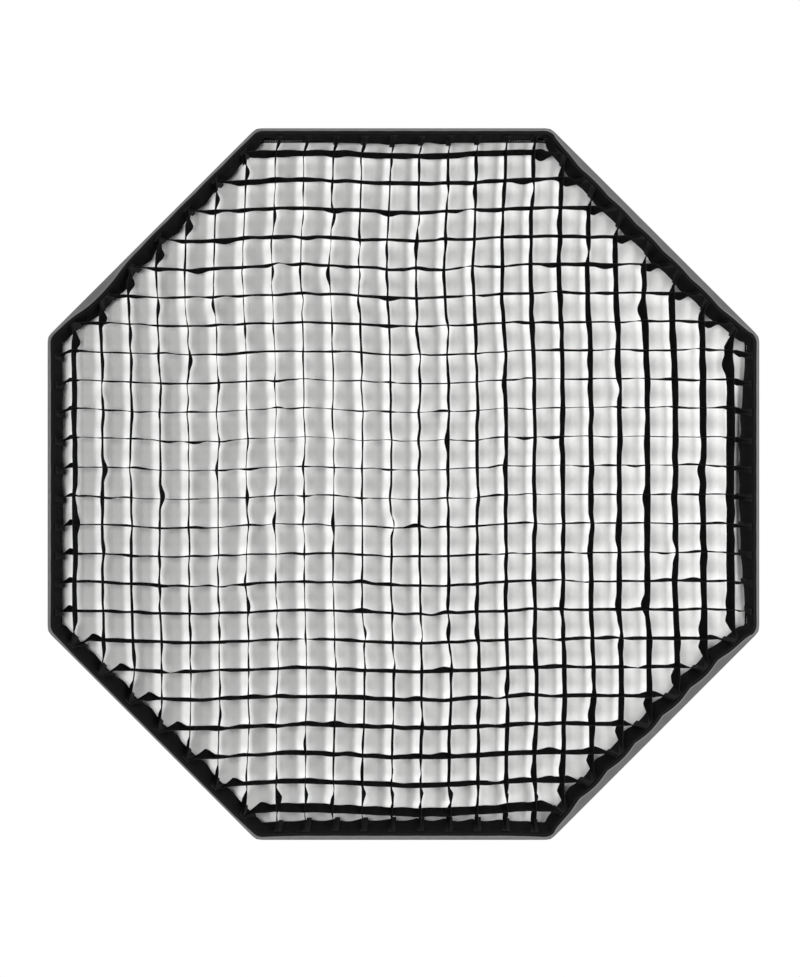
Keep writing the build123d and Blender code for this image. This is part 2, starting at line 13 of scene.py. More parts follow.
import bpy
import numpy as np
from mathutils import Matrix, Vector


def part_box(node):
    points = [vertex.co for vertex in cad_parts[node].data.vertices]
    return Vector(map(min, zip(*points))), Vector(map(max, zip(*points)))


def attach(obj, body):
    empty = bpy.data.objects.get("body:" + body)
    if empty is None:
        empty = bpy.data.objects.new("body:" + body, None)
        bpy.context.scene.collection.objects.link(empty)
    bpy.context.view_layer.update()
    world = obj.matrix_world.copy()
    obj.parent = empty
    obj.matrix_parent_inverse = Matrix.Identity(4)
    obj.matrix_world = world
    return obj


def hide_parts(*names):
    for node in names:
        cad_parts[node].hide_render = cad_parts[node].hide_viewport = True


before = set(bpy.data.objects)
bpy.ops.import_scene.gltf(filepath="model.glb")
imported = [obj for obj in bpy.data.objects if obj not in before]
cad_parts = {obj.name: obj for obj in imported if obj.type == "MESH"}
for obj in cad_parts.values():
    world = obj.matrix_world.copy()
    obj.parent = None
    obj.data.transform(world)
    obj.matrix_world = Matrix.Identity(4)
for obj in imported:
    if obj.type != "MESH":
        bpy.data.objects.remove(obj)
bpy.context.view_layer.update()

logging.basicConfig(level=logging.INFO, format="%(message)s")
LOG = logging.getLogger("softbox")

MM = 0.001
SIDES = 8
SIDE_STEP = 2 * math.pi / SIDES
HALF_STEP = SIDE_STEP / 2
CORNER_TAN = math.tan(HALF_STEP)
# Stitches stand this far off the cloth that they are sewn through.
THREAD_LIFT = 0.05 * MM

# Edges sharper than this many degrees stay sharp.
SHARP_ANGLE = 40.0

Array = np.ndarray


class Side(Enum):
    """The octagon's sides, by their place round the axis, seen from the front."""

    RIGHT = 0
    UPPER_RIGHT = 1
    TOP = 2
    UPPER_LEFT = 3
    LEFT = 4
    LOWER_LEFT = 5
    BOTTOM = 6
    LOWER_RIGHT = 7


class Run(Enum):
    """The two ways that the grid's strips run."""

    UPRIGHT = "upright"
    CROSS = "cross"


# ------------------------------------------------------------------ node and mesh helpers
def srgb(code: str) -> tuple[float, float, float, float]:
    """Turn an sRGB hex colour into linear values.

    Args:
        code: colour such as "#1a2b3c".

    Returns:
        Linear red, green, blue and an alpha of one.
    """
    values = [int(code[i : i + 2], 16) / 255 for i in (1, 3, 5)]
    linear = [v / 12.92 if v <= 0.04045 else ((v + 0.055) / 1.055) ** 2.4 for v in values]
    return linear[0], linear[1], linear[2], 1.0


def add_node(tree, kind: str, values: Optional[dict] = None, links: Optional[dict] = None, **settings):
    """Add a node with its settings and links.

    Args:
        tree: node tree that takes the node.
        kind: the node's type.
        values: input name or index to a fixed value.
        links: input name or index to the socket that feeds it.
        settings: attributes of the node.

    Returns:
        The new node.
    """
    node = tree.nodes.new(kind)
    for name, value in settings.items():
        setattr(node, name, value)
    for name, value in (values or {}).items():
        node.inputs[name].default_value = value
    for name, socket in (links or {}).items():
        tree.links.new(socket, node.inputs[name])
    return node


def link_object(name: str, mesh: bpy.types.Mesh) -> bpy.types.Object:
    """Make an object of a mesh and put it in the scene."""
    obj = bpy.data.objects.new(name, mesh)
    bpy.context.scene.collection.objects.link(obj)
    return obj


def sheet_object(name: str, rows: Array, closed: bool = False, tube: bool = False) -> bpy.types.Object:
    """Make a sheet of quads from rows of points, with a UV map in metres.

    Args:
        name: the object's name.
        rows: points as (rows, columns, 3).
        closed: whether the last column joins the first.
        tube: whether the last row joins the first.

    Returns:
        The sheet's object.
    """
    n_rows, n_cols = rows.shape[:2]
    along, across = run_lengths(rows[0], closed), run_lengths(rows[:, 0], tube)
    shape = (n_rows - (not tube), n_cols - (not closed))
    row_index, col_index = (index.ravel() for index in np.indices(shape))
    next_col, next_row = (col_index + 1) % n_cols, (row_index + 1) % n_rows
    corners = [(row_index, col_index), (row_index, next_col), (next_row, next_col), (next_row, col_index)]
    faces = np.stack([row * n_cols + col for row, col in corners], axis=1)
    mesh = bpy.data.meshes.new(name)
    mesh.from_pydata(rows.reshape(-1, 3).tolist(), [], faces.tolist())
    layer = mesh.uv_layers.new(name="cloth")
    u = np.stack([along[col_index], along[col_index + 1], along[col_index + 1], along[col_index]], axis=1)
    v = np.stack([across[row_index], across[row_index], across[row_index + 1], across[row_index + 1]], axis=1)
    layer.data.foreach_set("uv", np.stack([u, v], axis=2).astype(np.float32).ravel())
    return link_object(name, mesh)


def hoop(name: str, rings: Sequence[Array], tube: bool = False) -> bpy.types.Object:
    """Make a sheet of closed rings, and a tube where the last ring joins the first."""
    return sheet_object(name, np.stack(rings), closed=True, tube=tube)


def settle(obj: bpy.types.Object) -> bpy.types.Object:
    """Turn the result of an object's modifiers into its plain mesh."""
    depsgraph = bpy.context.evaluated_depsgraph_get()
    evaluated = obj.evaluated_get(depsgraph)
    mesh = bpy.data.meshes.new_from_object(evaluated, preserve_all_data_layers=True, depsgraph=depsgraph)
    obj.modifiers.clear()
    old = obj.data
    obj.data = mesh
    bpy.data.meshes.remove(old)
    mesh.name = obj.name
    return obj


def hang(obj: bpy.types.Object, held: Callable[[Array], Array], frames: int, stiffness: float) -> bpy.types.Object:
    """Let a hung cloth settle under its own weight with a short cloth simulation.

    Args:
        obj: the cloth, as a plain mesh in its made shape.
        held: says from the points, as (points, 3), how firmly each is held, from 0 to 1.
        frames: frames to simulate.
        stiffness: stiffness against stretching and shearing.

    Returns:
        The same object with the settled shape as its plain mesh.
    """
    points = np.zeros(len(obj.data.vertices) * 3)
    obj.data.vertices.foreach_get("co", points)
    group = obj.vertex_groups.new(name="held")
    for k, weight in enumerate(held(points.reshape(-1, 3))):
        if weight > 0:
            group.add([k], float(weight), "REPLACE")
    cloth = obj.modifiers.new("cloth", "CLOTH")
    settings = cloth.settings
    settings.quality = 6
    settings.mass = 0.08
    settings.air_damping = 4.0
    settings.tension_stiffness = settings.compression_stiffness = stiffness
    settings.shear_stiffness = stiffness * 0.4
    settings.bending_stiffness = 0.4
    settings.vertex_group_mass = group.name
    settings.pin_stiffness = 1.0
    cloth.collision_settings.use_collision = False
    cloth.point_cache.frame_start = 1
    cloth.point_cache.frame_end = frames
    scene = bpy.context.scene
    for frame_number in range(1, frames + 1):
        scene.frame_set(frame_number)
    settle(obj)
    obj.vertex_groups.clear()
    scene.frame_set(1)
    LOG.info("%s: settled over %d frames", obj.name, frames)
    return obj


def smooth(obj: bpy.types.Object, angle: float = SHARP_ANGLE) -> bpy.types.Object:
    """Shade a piece smooth, with sharp edges past an angle in degrees."""
    obj.data.polygons.foreach_set("use_smooth", [True] * len(obj.data.polygons))
    obj.data.set_sharp_from_angle(angle=math.radians(angle))
    return obj


def thicken(obj: bpy.types.Object, thickness: float, offset: float = -1.0, lining: bool = False) -> bpy.types.Object:
    """Give a sheet its thickness.

    Args:
        obj: the sheet.
        thickness: thickness in metres.
        offset: -1 grows against the normals, 1 along them.
        lining: whether the grown side takes the second material.

    Returns:
        The same object, with a plain closed mesh.
    """
    wall = obj.modifiers.new("thickness", "SOLIDIFY")
    wall.thickness = thickness
    wall.offset = offset
    wall.material_offset = 1 if lining else 0
    return smooth(settle(obj))


def run_tree(obj: bpy.types.Object, tree: bpy.types.NodeTree, inputs: dict) -> bpy.types.Object:
    """Run a Geometry Nodes tree on an object and keep the result as its plain mesh.

    Args:
        obj: the object that carries the tree's input mesh.
        tree: the tree.
        inputs: input names and their values.

    Returns:
        The same object.
    """
    modifier = obj.modifiers.new(tree.name, "NODES")
    modifier.node_group = tree
    for item in tree.interface.items_tree:
        if item.item_type == "SOCKET" and item.in_out == "INPUT" and item.name in inputs:
            modifier[item.identifier] = inputs[item.name]
    return settle(obj)


def unit(vectors: Array) -> Array:
    """Vectors along the last axis, made one long."""
    return vectors / np.maximum(np.linalg.norm(vectors, axis=-1, keepdims=True), 1e-12)


def run_lengths(points: Array, closed: bool) -> Array:
    """Distance of each point along a line, with the whole length last when closed."""
    ends = np.concatenate([points, points[:1]]) if closed else points
    steps = np.linalg.norm(np.diff(ends, axis=0), axis=1)
    return np.concatenate([[0.0], np.cumsum(steps)])


def compass(angle: float) -> tuple[Array, Array]:
    """Unit vectors out from the axis at an angle, and sideways from that."""
    return np.array([math.cos(angle), 0, math.sin(angle)]), np.array([-math.sin(angle), 0, math.cos(angle)])


def girth(half: float) -> float:
    """Length round an octagon, from half its width."""
    return 2 * SIDES * half * CORNER_TAN


def octagon_area(half: float) -> float:
    """Area of an octagon, from half its width."""
    return 2 * SIDES * half**2 * CORNER_TAN / 2


# ------------------------------------------------------------------ finishes
Tree = bpy.types.NodeTree
Socket = bpy.types.NodeSocket
# A wave texture lays this many bands to each unit of its scale.
BANDS_PER_SCALE = 20


def start_material(name: str) -> tuple[bpy.types.Material, Tree, dict]:
    """Start a material: the material, its empty tree and the outputs of its coordinates."""
    material = bpy.data.materials.new(name)
    material.use_nodes = True
    tree = material.node_tree
    tree.nodes.clear()
    return material, tree, add_node(tree, "ShaderNodeTexCoord").outputs


def maths(tree: Tree, operation: str, *sockets: Socket, **fixed: float) -> Socket:
    """Result of a sum over sockets, with an addend when it is fixed."""
    values = {2: fixed["addend"]} if fixed else {}
    return add_node(tree, "ShaderNodeMath", values, dict(enumerate(sockets)), operation=operation).outputs[0]


def noise(tree: Tree, vector: Socket, scale: float, detail: float, **values: float) -> Socket:
    """Noise from 0 to 1 over a vector, with more of the node's values by name."""
    values = {"Scale": scale, "Detail": detail, **values}
    return add_node(tree, "ShaderNodeTexNoise", values, {"Vector": vector}).outputs["Fac"]


def tint(tree: Tree, colour: str, shade: str, share: Socket) -> Socket:
    """Colour that runs from one hex colour to another as the share runs from 0 to 1."""
    ends = {6: srgb(colour), 7: srgb(shade)}
    return add_node(tree, "ShaderNodeMix", ends, {0: share}, data_type="RGBA").outputs[2]


def bump(tree: Tree, strength: float, depth: float, height: Socket, **links: Socket) -> Socket:
    """Normal that is bumped by a height socket, over a depth in metres."""
    values = {"Strength": strength, "Distance": depth}
    return add_node(tree, "ShaderNodeBump", values, {"Height": height, **links}).outputs["Normal"]


def uneven(tree: Tree, share: Socket, low: float, high: float, limits: Optional[dict] = None) -> Socket:
    """Value that runs from low to high as the share runs between its limits."""
    values = {"To Min": low, "To Max": high, **(limits or {})}
    return add_node(tree, "ShaderNodeMapRange", values, {"Value": share}).outputs["Result"]


def principled(tree: Tree, values: dict, colour: Socket, normal: Socket, **links: Socket) -> Socket:
    """Surface of a principled shader."""
    links = {"Base Color": colour, "Normal": normal, **links}
    return add_node(tree, "ShaderNodeBsdfPrincipled", values, links).outputs[0]


def close_material(material: bpy.types.Material, surface: Socket) -> bpy.types.Material:
    """End a material with its surface."""
    add_node(material.node_tree, "ShaderNodeOutputMaterial", {}, {"Surface": surface})
    return material


@dataclass(frozen=True)
class ClothFinish:
    """A woven cloth: threads in two directions, with sheen, creases and uneven dye."""

    name: str
    colour: str
    shade: str
    thread_mm: float
    roughness: float
    sheen: float = 0.0
    weave_depth: float = 0.15
    crease_mm: float = 60.0
    crease_depth: float = 0.2
    metallic: float = 0.0
    specular: float = 0.5
    translucent: float = 0.0
    on_surface: bool = True

    def build(self) -> bpy.types.Material:
        """Build the material."""
        material, tree, place = start_material(self.name)
        threads = 1 / (self.thread_mm * MM)
        bands = {"Scale": threads / BANDS_PER_SCALE, "Distortion": 0.6, "Detail": 1.0}
        flat = {"Vector": place["UV" if self.on_surface else "Object"]}
        warp, weft = (
            add_node(tree, "ShaderNodeTexWave", bands, flat, bands_direction=way).outputs["Fac"] for way in "XY"
        )
        weave = maths(tree, "MULTIPLY", warp, weft)
        crease = noise(tree, place["Object"], 1 / (self.crease_mm * MM), 4.0, Roughness=0.55, Distortion=0.4)
        dye = noise(tree, place["Object"], 1 / (self.crease_mm * 2 * MM), 3.0)
        colour = tint(tree, self.colour, self.shade, maths(tree, "MULTIPLY_ADD", weave, dye, addend=0.25))
        folds = bump(tree, self.crease_depth, 2 * MM, crease)
        surface = principled(
            tree,
            {
                "Metallic": self.metallic,
                "Specular IOR Level": self.specular,
                "Sheen Weight": self.sheen,
                "Sheen Roughness": 0.4,
            },
            colour,
            bump(tree, self.weave_depth, 0.3 * MM, weave, Normal=folds),
            Roughness=uneven(tree, dye, self.roughness - 0.06, self.roughness + 0.06),
        )
        if self.translucent:
            glow = add_node(tree, "ShaderNodeBsdfTranslucent", {}, {"Color": colour}).outputs[0]
            mixed = add_node(tree, "ShaderNodeMixShader", {0: self.translucent}, {1: surface, 2: glow})
            surface = mixed.outputs[0]
        return close_material(material, surface)


@dataclass(frozen=True)
class PileFinish:
    """Hook-and-loop tape: a dark pile of fine loops or hooks on a woven back."""

    name: str
    colour: str
    shade: str
    pile_mm: float

    def build(self) -> bpy.types.Material:
        """Build the material."""
        material, tree, place = start_material(self.name)
        size = {"Scale": 1 / (self.pile_mm * MM)}
        pile = add_node(tree, "ShaderNodeTexVoronoi", size, {"Vector": place["Object"]}).outputs["Distance"]
        surface = principled(
            tree,
            {"Roughness": 0.9, "Specular IOR Level": 0.05, "Sheen Weight": 0.02},
            tint(tree, self.colour, self.shade, pile),
            bump(tree, 0.7, 0.8 * MM, pile),
        )
        return close_material(material, surface)


@dataclass(frozen=True)
class HardFinish:
    """A rigid finish: plated, painted or cast metal, or moulded plastic."""

    name: str
    colour: str
    shade: str
    metallic: float
    roughness: float
    grain_mm: float
    grain_depth: float
    stretch: tuple[float, float, float] = (1.0, 1.0, 1.0)
    coat: float = 0.0

    def build(self) -> bpy.types.Material:
        """Build the material."""
        material, tree, place = start_material(self.name)
        mapped = add_node(tree, "ShaderNodeMapping", {"Scale": self.stretch}, {"Vector": place["Object"]})
        grain = noise(tree, mapped.outputs[0], 1 / (self.grain_mm * MM), 3.0, Roughness=0.6)
        handling = noise(tree, place["Object"], 28.0, 5.0, Roughness=0.65)
        limits = {"From Min": 0.3, "From Max": 0.7}
        surface = principled(
            tree,
            {"Metallic": self.metallic, "Coat Weight": self.coat, "Coat Roughness": 0.15},
            tint(tree, self.colour, self.shade, handling),
            bump(tree, self.grain_depth, 0.2 * MM, grain),
            Roughness=uneven(tree, handling, self.roughness - 0.08, self.roughness + 0.1, limits),
        )
        return close_material(material, surface)


class Finish(Enum):
    """Every finish on the softbox and round it."""

    # Polyurethane-coated nylon: near black face on, with a grey gloss at a grazing angle.
    # Its 0.25 mm threads are too fine to show, so the rip-stop squares of 4 mm stand in.
    SHELL = ClothFinish("coated_black_nylon", "#151515", "#1e1e1f", 4.0, 0.42, 0.06, crease_mm=45, crease_depth=0.28)
    # The lip is the shell's coated nylon with its colours painted lighter: painted sheen that brightens its grazing
    # rim, on top of its real gloss.
    SKIRT = ClothFinish(
        "coated_black_nylon_lip_painted_sheen", "#1e1e1f", "#2a2a2b", 4.0, 0.58, 0.06, crease_mm=30, crease_depth=0.22, specular=0.85
    )
    # Aluminised lining: soft grey mirror with fine crinkles that scatter the lamp's light.
    LINING = ClothFinish(
        "aluminised_lining", "#c9cacc", "#a9abae", 3.0, 0.42, crease_mm=14, crease_depth=0.35, metallic=0.85
    )
    # Thin calendered nylon taffeta of the grid: flat black that swallows stray light.
    GRID = ClothFinish(
        "black_nylon_taffeta", "#0e0e0f", "#181819", 3.0, 0.85, crease_mm=25, crease_depth=0.2, specular=0.004,
        on_surface=False,
    )
    BORDER = ClothFinish(
        "black_nylon_band", "#0b0b0b", "#131313", 3.0, 0.8, crease_mm=22, crease_depth=0.35, specular=0.05
    )
    TAB = ClothFinish(
        "black_nylon_tab", "#131314", "#1e1e1f", 3.0, 0.75, crease_mm=14, crease_depth=0.35, specular=0.1
    )
    # Bleached diffusion nylon: matt white that lets light through.
    DIFFUSION = ClothFinish(
        "white_diffusion_nylon", "#f4f4f3", "#ededec", 2.5, 0.85, crease_mm=80, crease_depth=0.08,
        weave_depth=0.05, specular=0.25, translucent=0.25,
    )
    # Woven polyester binding: ribs across the tape, a little lighter than the panels.
    BINDING = ClothFinish("polyester_binding_tape", "#1a1a1b", "#262627", 1.8, 0.7, 0.15, weave_depth=0.5)
    PIPING = ClothFinish("woven_piping", "#2a2a2b", "#3a3a3b", 1.6, 0.5, 0.15, weave_depth=0.4)
    WEBBING = ClothFinish("polypropylene_webbing", "#171717", "#242424", 2.2, 0.6, 0.1, weave_depth=0.6)
    ELASTIC = ClothFinish("white_knitted_elastic", "#e6e5e1", "#cfcdc8", 1.4, 0.8, 0.1, weave_depth=0.6)
    THREAD = ClothFinish("polyester_thread", "#232323", "#303030", 0.6, 0.55, 0.2, on_surface=False)
    WHITE_THREAD = ClothFinish("white_polyester_thread", "#e8e8e6", "#d6d6d2", 0.6, 0.6, 0.2, on_surface=False)
    LOOPS = PileFinish("loop_tape_pile", "#0a0a0a", "#161616", 0.9)
    HOOKS = PileFinish("hook_tape_pile", "#0c0c0c", "#1c1c1c", 1.3)
    # Pressed steel under satin chrome: bright, with a fine turned grain.
    ADAPTER = HardFinish("satin_chromed_steel", "#c4c6c9", "#aeb0b4", 1.0, 0.28, 0.8, 0.12, stretch=(1, 6, 1))
    # Cast aluminium under black powder coat: a fine orange-peel surface.
    RING = HardFinish("powder_coated_aluminium", "#17181a", "#232427", 0.0, 0.42, 1.4, 0.5)
    ZINC = HardFinish("zinc_plated_steel", "#b9bcc0", "#9a9da3", 1.0, 0.36, 1.2, 0.15)
    NICKEL = HardFinish("nickel_plated_tube", "#c2bfb8", "#a7a49c", 1.0, 0.26, 1.0, 0.1)
    # Pultruded fibreglass: glossy black resin with streaks of glass along the rod.
    ROD = HardFinish("pultruded_fibreglass", "#0f0f10", "#26272a", 0.0, 0.28, 2.0, 0.25, coat=0.4)
    KNOB = HardFinish("moulded_black_abs", "#161616", "#1f1f20", 0.0, 0.5, 0.9, 0.35)
    CAP = HardFinish("moulded_black_pvc", "#141414", "#1e1e1e", 0.0, 0.6, 1.1, 0.2)
    NYLON = HardFinish("natural_nylon", "#d8d3c4", "#c9c3b2", 0.0, 0.5, 1.0, 0.1)
    # Matt studio floor paint.
    FLOOR = HardFinish("pale_floor_paint", "#f4f4f3", "#efefee", 0.0, 0.7, 6.0, 0.05)


class Wardrobe:
    """Builds each finish once and hands out its material."""

    def __init__(self) -> None:
        """Start with no material built."""
        self.materials: dict[Finish, bpy.types.Material] = {}

    def get(self, finish: Finish) -> bpy.types.Material:
        """Material of a finish."""
        if finish not in self.materials:
            self.materials[finish] = finish.value.build()
        return self.materials[finish]


WARDROBE = Wardrobe()


def dress(obj: bpy.types.Object, *finishes: Finish) -> bpy.types.Object:
    """Give an object's material slots their finishes, in order."""
    materials = [WARDROBE.get(f) for f in finishes]
    for index, material in enumerate(materials):
        if index < len(obj.data.materials):
            obj.data.materials[index] = material
        else:
            obj.data.materials.append(material)
    return obj


def place_piece(obj: bpy.types.Object, body: str, slot: str, *nodes: str) -> bpy.types.Object:
    """Ride a piece on its body, hide the CAD nodes that it stands for, and report it.

    Args:
        obj: the finished piece.
        body: the CAD body it moves with.
        slot: name of its material slot; not used.
        nodes: the CAD nodes it replaces.

    Returns:
        The same object.
    """
    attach(obj, body)
    if nodes:
        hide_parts(*nodes)
    LOG.info("%s: %d faces, rides on %s", obj.name, len(obj.data.polygons), body)
    return obj


# ------------------------------------------------------------------ geometry node trees
def new_tree(name: str, sockets: dict[str, str]) -> tuple[Tree, dict]:
    """Start a Geometry Nodes tree with a geometry in and out and named inputs.

    Args:
        name: the tree's name.
        sockets: names of its inputs and their kinds, such as Float.

    Returns:
        The tree and the outputs of its group input.
    """
    tree = bpy.data.node_groups.new(name, "GeometryNodeTree")
    for way in ("OUTPUT", "INPUT"):
        tree.interface.new_socket("Geometry", in_out=way, socket_type="NodeSocketGeometry")
    for label, kind in sockets.items():
        tree.interface.new_socket(label, in_out="INPUT", socket_type=f"NodeSocket{kind}")
    return tree, add_node(tree, "NodeGroupInput").outputs


def close_tree(tree: Tree, geometry: Socket, material: Socket) -> Tree:
    """End a tree: make its instances real, give them their material and send them out."""
    real = add_node(tree, "GeometryNodeRealizeInstances", {}, {"Geometry": geometry}).outputs[0]
    finish = add_node(tree, "GeometryNodeSetMaterial", {}, {"Geometry": real, "Material": material})
    add_node(tree, "NodeGroupOutput", {}, {"Geometry": finish.outputs[0]})
    return tree


def build_stitch_tree() -> Tree:
    """Tree that lays lockstitches along the edges of a wire mesh."""
    sockets = {"Spacing": "Float", "Stitch length": "Float", "Thread radius": "Float", "Seed": "Int"}
    tree, given = new_tree("lockstitch_rows", {**sockets, "Thread": "Material"})
    curve = add_node(tree, "GeometryNodeMeshToCurve", {}, {"Mesh": given["Geometry"]}).outputs["Curve"]
    spacing = {"Curve": curve, "Length": given["Spacing"]}
    spaced = add_node(tree, "GeometryNodeResampleCurve", {}, spacing, mode="LENGTH").outputs["Curve"]
    tangent = add_node(tree, "GeometryNodeInputTangent").outputs["Tangent"]
    turn = add_node(tree, "FunctionNodeAlignRotationToVector", {}, {"Vector": tangent}, axis="Z")
    seed = {"Seed": given["Seed"]}
    vary = add_node(tree, "FunctionNodeRandomValue", {2: 0.42, 3: 0.54}, seed, data_type="FLOAT")
    half = maths(tree, "MULTIPLY", given["Stitch length"], vary.outputs[1])
    size = {"X": given["Thread radius"], "Y": given["Thread radius"], "Z": half}
    scale = add_node(tree, "ShaderNodeCombineXYZ", {}, size)
    thread = add_node(tree, "GeometryNodeMeshUVSphere", {"Segments": 6, "Rings": 4, "Radius": 1.0})
    stitches = add_node(
        tree,
        "GeometryNodeInstanceOnPoints",
        {},
        {
            "Points": spaced,
            "Instance": thread.outputs["Mesh"],
            "Rotation": turn.outputs["Rotation"],
            "Scale": scale.outputs["Vector"],
        },
    )
    return close_tree(tree, stitches.outputs["Instances"], given["Thread"])


def build_ribbon_tree() -> Tree:
    """Tree that raises a wire mesh into standing cloth ribbons.

    The wires are the ribbons' front edges. Their attributes middle_sway and rear_sway say how
    far the cloth's middle and rear edge stand off the front edge.
    """
    sockets = {"Depth": "Float", "Thickness": "Float", "Cloth": "Material"}
    tree, given = new_tree("standing_ribbons", sockets)
    half = add_node(tree, "ShaderNodeMath", {1: 0.5}, {0: given["Depth"]}, operation="MULTIPLY")
    step = add_node(tree, "ShaderNodeCombineXYZ", {}, {"Y": half.outputs[0]}).outputs["Vector"]
    mesh, top = given["Geometry"], {}
    for sway_name in ("middle_sway", "rear_sway"):
        raised = add_node(tree, "GeometryNodeExtrudeMesh", {}, {"Mesh": mesh, "Offset": step, **top}, mode="EDGES")
        sway = add_node(tree, "GeometryNodeInputNamedAttribute", {"Name": sway_name}, data_type="FLOAT_VECTOR")
        top = {"Selection": raised.outputs["Top"]}
        shift = {"Geometry": raised.outputs["Mesh"], "Offset": sway.outputs[0], **top}
        mesh = add_node(tree, "GeometryNodeSetPosition", {}, shift).outputs["Geometry"]
    back = add_node(tree, "GeometryNodeFlipFaces", {}, {"Mesh": mesh})
    grown = {"Mesh": mesh, "Offset Scale": given["Thickness"]}
    front = add_node(tree, "GeometryNodeExtrudeMesh", {"Individual": False}, grown, mode="FACES")
    both = add_node(tree, "GeometryNodeJoinGeometry")
    for side in (back, front):
        tree.links.new(side.outputs["Mesh"], both.inputs["Geometry"])
    joined = {"Geometry": both.outputs["Geometry"]}
    closed = add_node(tree, "GeometryNodeMergeByDistance", {"Distance": 0.01 * MM}, joined)
    return close_tree(tree, closed.outputs["Geometry"], given["Cloth"])


@dataclass
class Stitcher:
    """Sews rows of stitches: one tree, run once for each group of rows."""

    tree: bpy.types.NodeTree = field(default_factory=build_stitch_tree)
    spacing: float = 4.5 * MM
    length: float = 3.4 * MM
    radius: float = 0.35 * MM

    def sew(self, name: str, lines: Sequence[Array], closed: bool, thread: Finish, seed: int) -> bpy.types.Object:
        """Sew rows along lines.

        Args:
            name: the name of the rows' object.
            lines: points of each row.
            closed: whether each row runs all the way round.
            thread: the thread's finish.
            seed: seed of the stitches' uneven lengths.

        Returns:
            One object with every stitch of the rows.
        """
        points: list = []
        edges: list = []
        for line in lines:
            start = len(points)
            points.extend(line.tolist())
            last = len(points) - 1
            edges.extend((i, i + 1) for i in range(start, last))
            if closed:
                edges.append((last, start))
        mesh = bpy.data.meshes.new(name)
        mesh.from_pydata(points, edges, [])
        obj = link_object(name, mesh)
        run_tree(
            obj,
            self.tree,
            {
                "Spacing": self.spacing,
                "Stitch length": self.length,
                "Thread radius": self.radius,
                "Seed": seed,
                "Thread": WARDROBE.get(thread),
            },
        )
        return smooth(obj, 60)


# ------------------------------------------------------------------ the octagon's outline
@dataclass
class OctagonPath:
    """Stations round a rounded octagon, the same for every ring of the front."""

    straight: int = 96
    corner: int = 10
    side: Array = field(init=False)
    tau: Array = field(init=False)
    turn: Array = field(init=False)

    def __post_init__(self) -> None:
        """Work out the stations: side, place on it from -1 to 1, and turn into the corner."""
        taus = np.linspace(-1, 1, self.straight)
        turns = np.linspace(0, 1, self.corner + 2)[1:-1]
        side, tau, turn = [], [], []
        for k in range(SIDES):
            side.append(np.full(len(taus) + len(turns), k))
            tau.append(np.concatenate([taus, np.ones(len(turns))]))
            turn.append(np.concatenate([np.zeros(len(taus)), turns]))
        self.side = np.concatenate(side)
        self.tau = np.concatenate(tau)
        self.turn = np.concatenate(turn)

    def stations(self) -> tuple[Array, Array, Array]:
        """Side, place on it and turn into the corner of every station."""
        return self.side, self.tau, self.turn

    def normals(self) -> Array:
        """Outward unit vectors (x, z) of the stations."""
        angle = (self.side + self.turn) * SIDE_STEP
        return np.stack([np.cos(angle), np.sin(angle)], axis=1)

    def points(self, half: float, corner_r: float) -> Array:
        """Points (x, z) of the stations on an octagon half as wide as twice half."""
        facing = self.side * SIDE_STEP
        n = np.stack([np.cos(facing), np.sin(facing)], axis=1)
        t = np.stack([-np.sin(facing), np.cos(facing)], axis=1)
        reach = (half - corner_r) * CORNER_TAN
        centre = n * (half - corner_r) + t * (reach * self.tau)[:, None]
        return centre + corner_r * self.normals()

    def ring(self, half: float, corner_r: float, y: float, inset: Optional[Array] = None) -> Array:
        """Ring of points at y, moved inwards by an inset at each station."""
        flat = self.points(half, corner_r)
        if inset is not None:
            flat = flat - self.normals() * inset[:, None]
        return np.stack([flat[:, 0], np.full(len(flat), y), flat[:, 1]], axis=1)


def disc_sheet(name: str, outline: Array, bands: int, lift: Callable[[Array, Array], Array]) -> bpy.types.Object:
    """Sheet that fills an outline, with rings of quads round one middle point.

    Args:
        name: the object's name.
        outline: the sheet's edge, as (points, 3).
        bands: rings of quads from the middle to the edge.
        lift: y to add at given x and z.

    Returns:
        The sheet's object.
    """
    shares = (np.arange(1, bands + 1) / bands)[:, None, None]
    centre = np.array([0.0, outline[0, 1], 0.0])
    rows = centre + (outline[None] - centre) * shares
    points = np.concatenate([centre[None], rows.reshape(-1, 3)])
    points[:, 1] += lift(points[:, 0], points[:, 2])
    n = len(outline)
    faces = [(0, 1 + j, 1 + (j + 1) % n) for j in range(n)]
    for i in range(bands - 1):
        a, b = 1 + i * n, 1 + (i + 1) * n
        faces += [(a + j, b + j, b + (j + 1) % n, a + (j + 1) % n) for j in range(n)]
    mesh = bpy.data.meshes.new(name)
    mesh.from_pydata(points.tolist(), [], faces)
    layer = mesh.uv_layers.new(name="cloth")
    corners = np.zeros(len(mesh.loops), dtype=np.int32)
    mesh.loops.foreach_get("vertex_index", corners)
    layer.data.foreach_set("uv", points[corners][:, [0, 2]].astype(np.float32).ravel())
    return link_object(name, mesh)


# ------------------------------------------------------------------ sizes read from the frame
@dataclass(frozen=True)
class Extent:
    """A CAD node's extent: half its width, its front and its rear."""

    half: float
    front: float
    rear: float

    @classmethod
    def of(cls, node: str) -> "Extent":
        """Read a node's extent off the frame."""
        low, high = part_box(node)
        return cls((high.x - low.x) / 2, low.y, high.y)


def node_points(node: str) -> Array:
    """A CAD node's vertices as an array."""
    return np.array([v.co[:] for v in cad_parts[node].data.vertices])


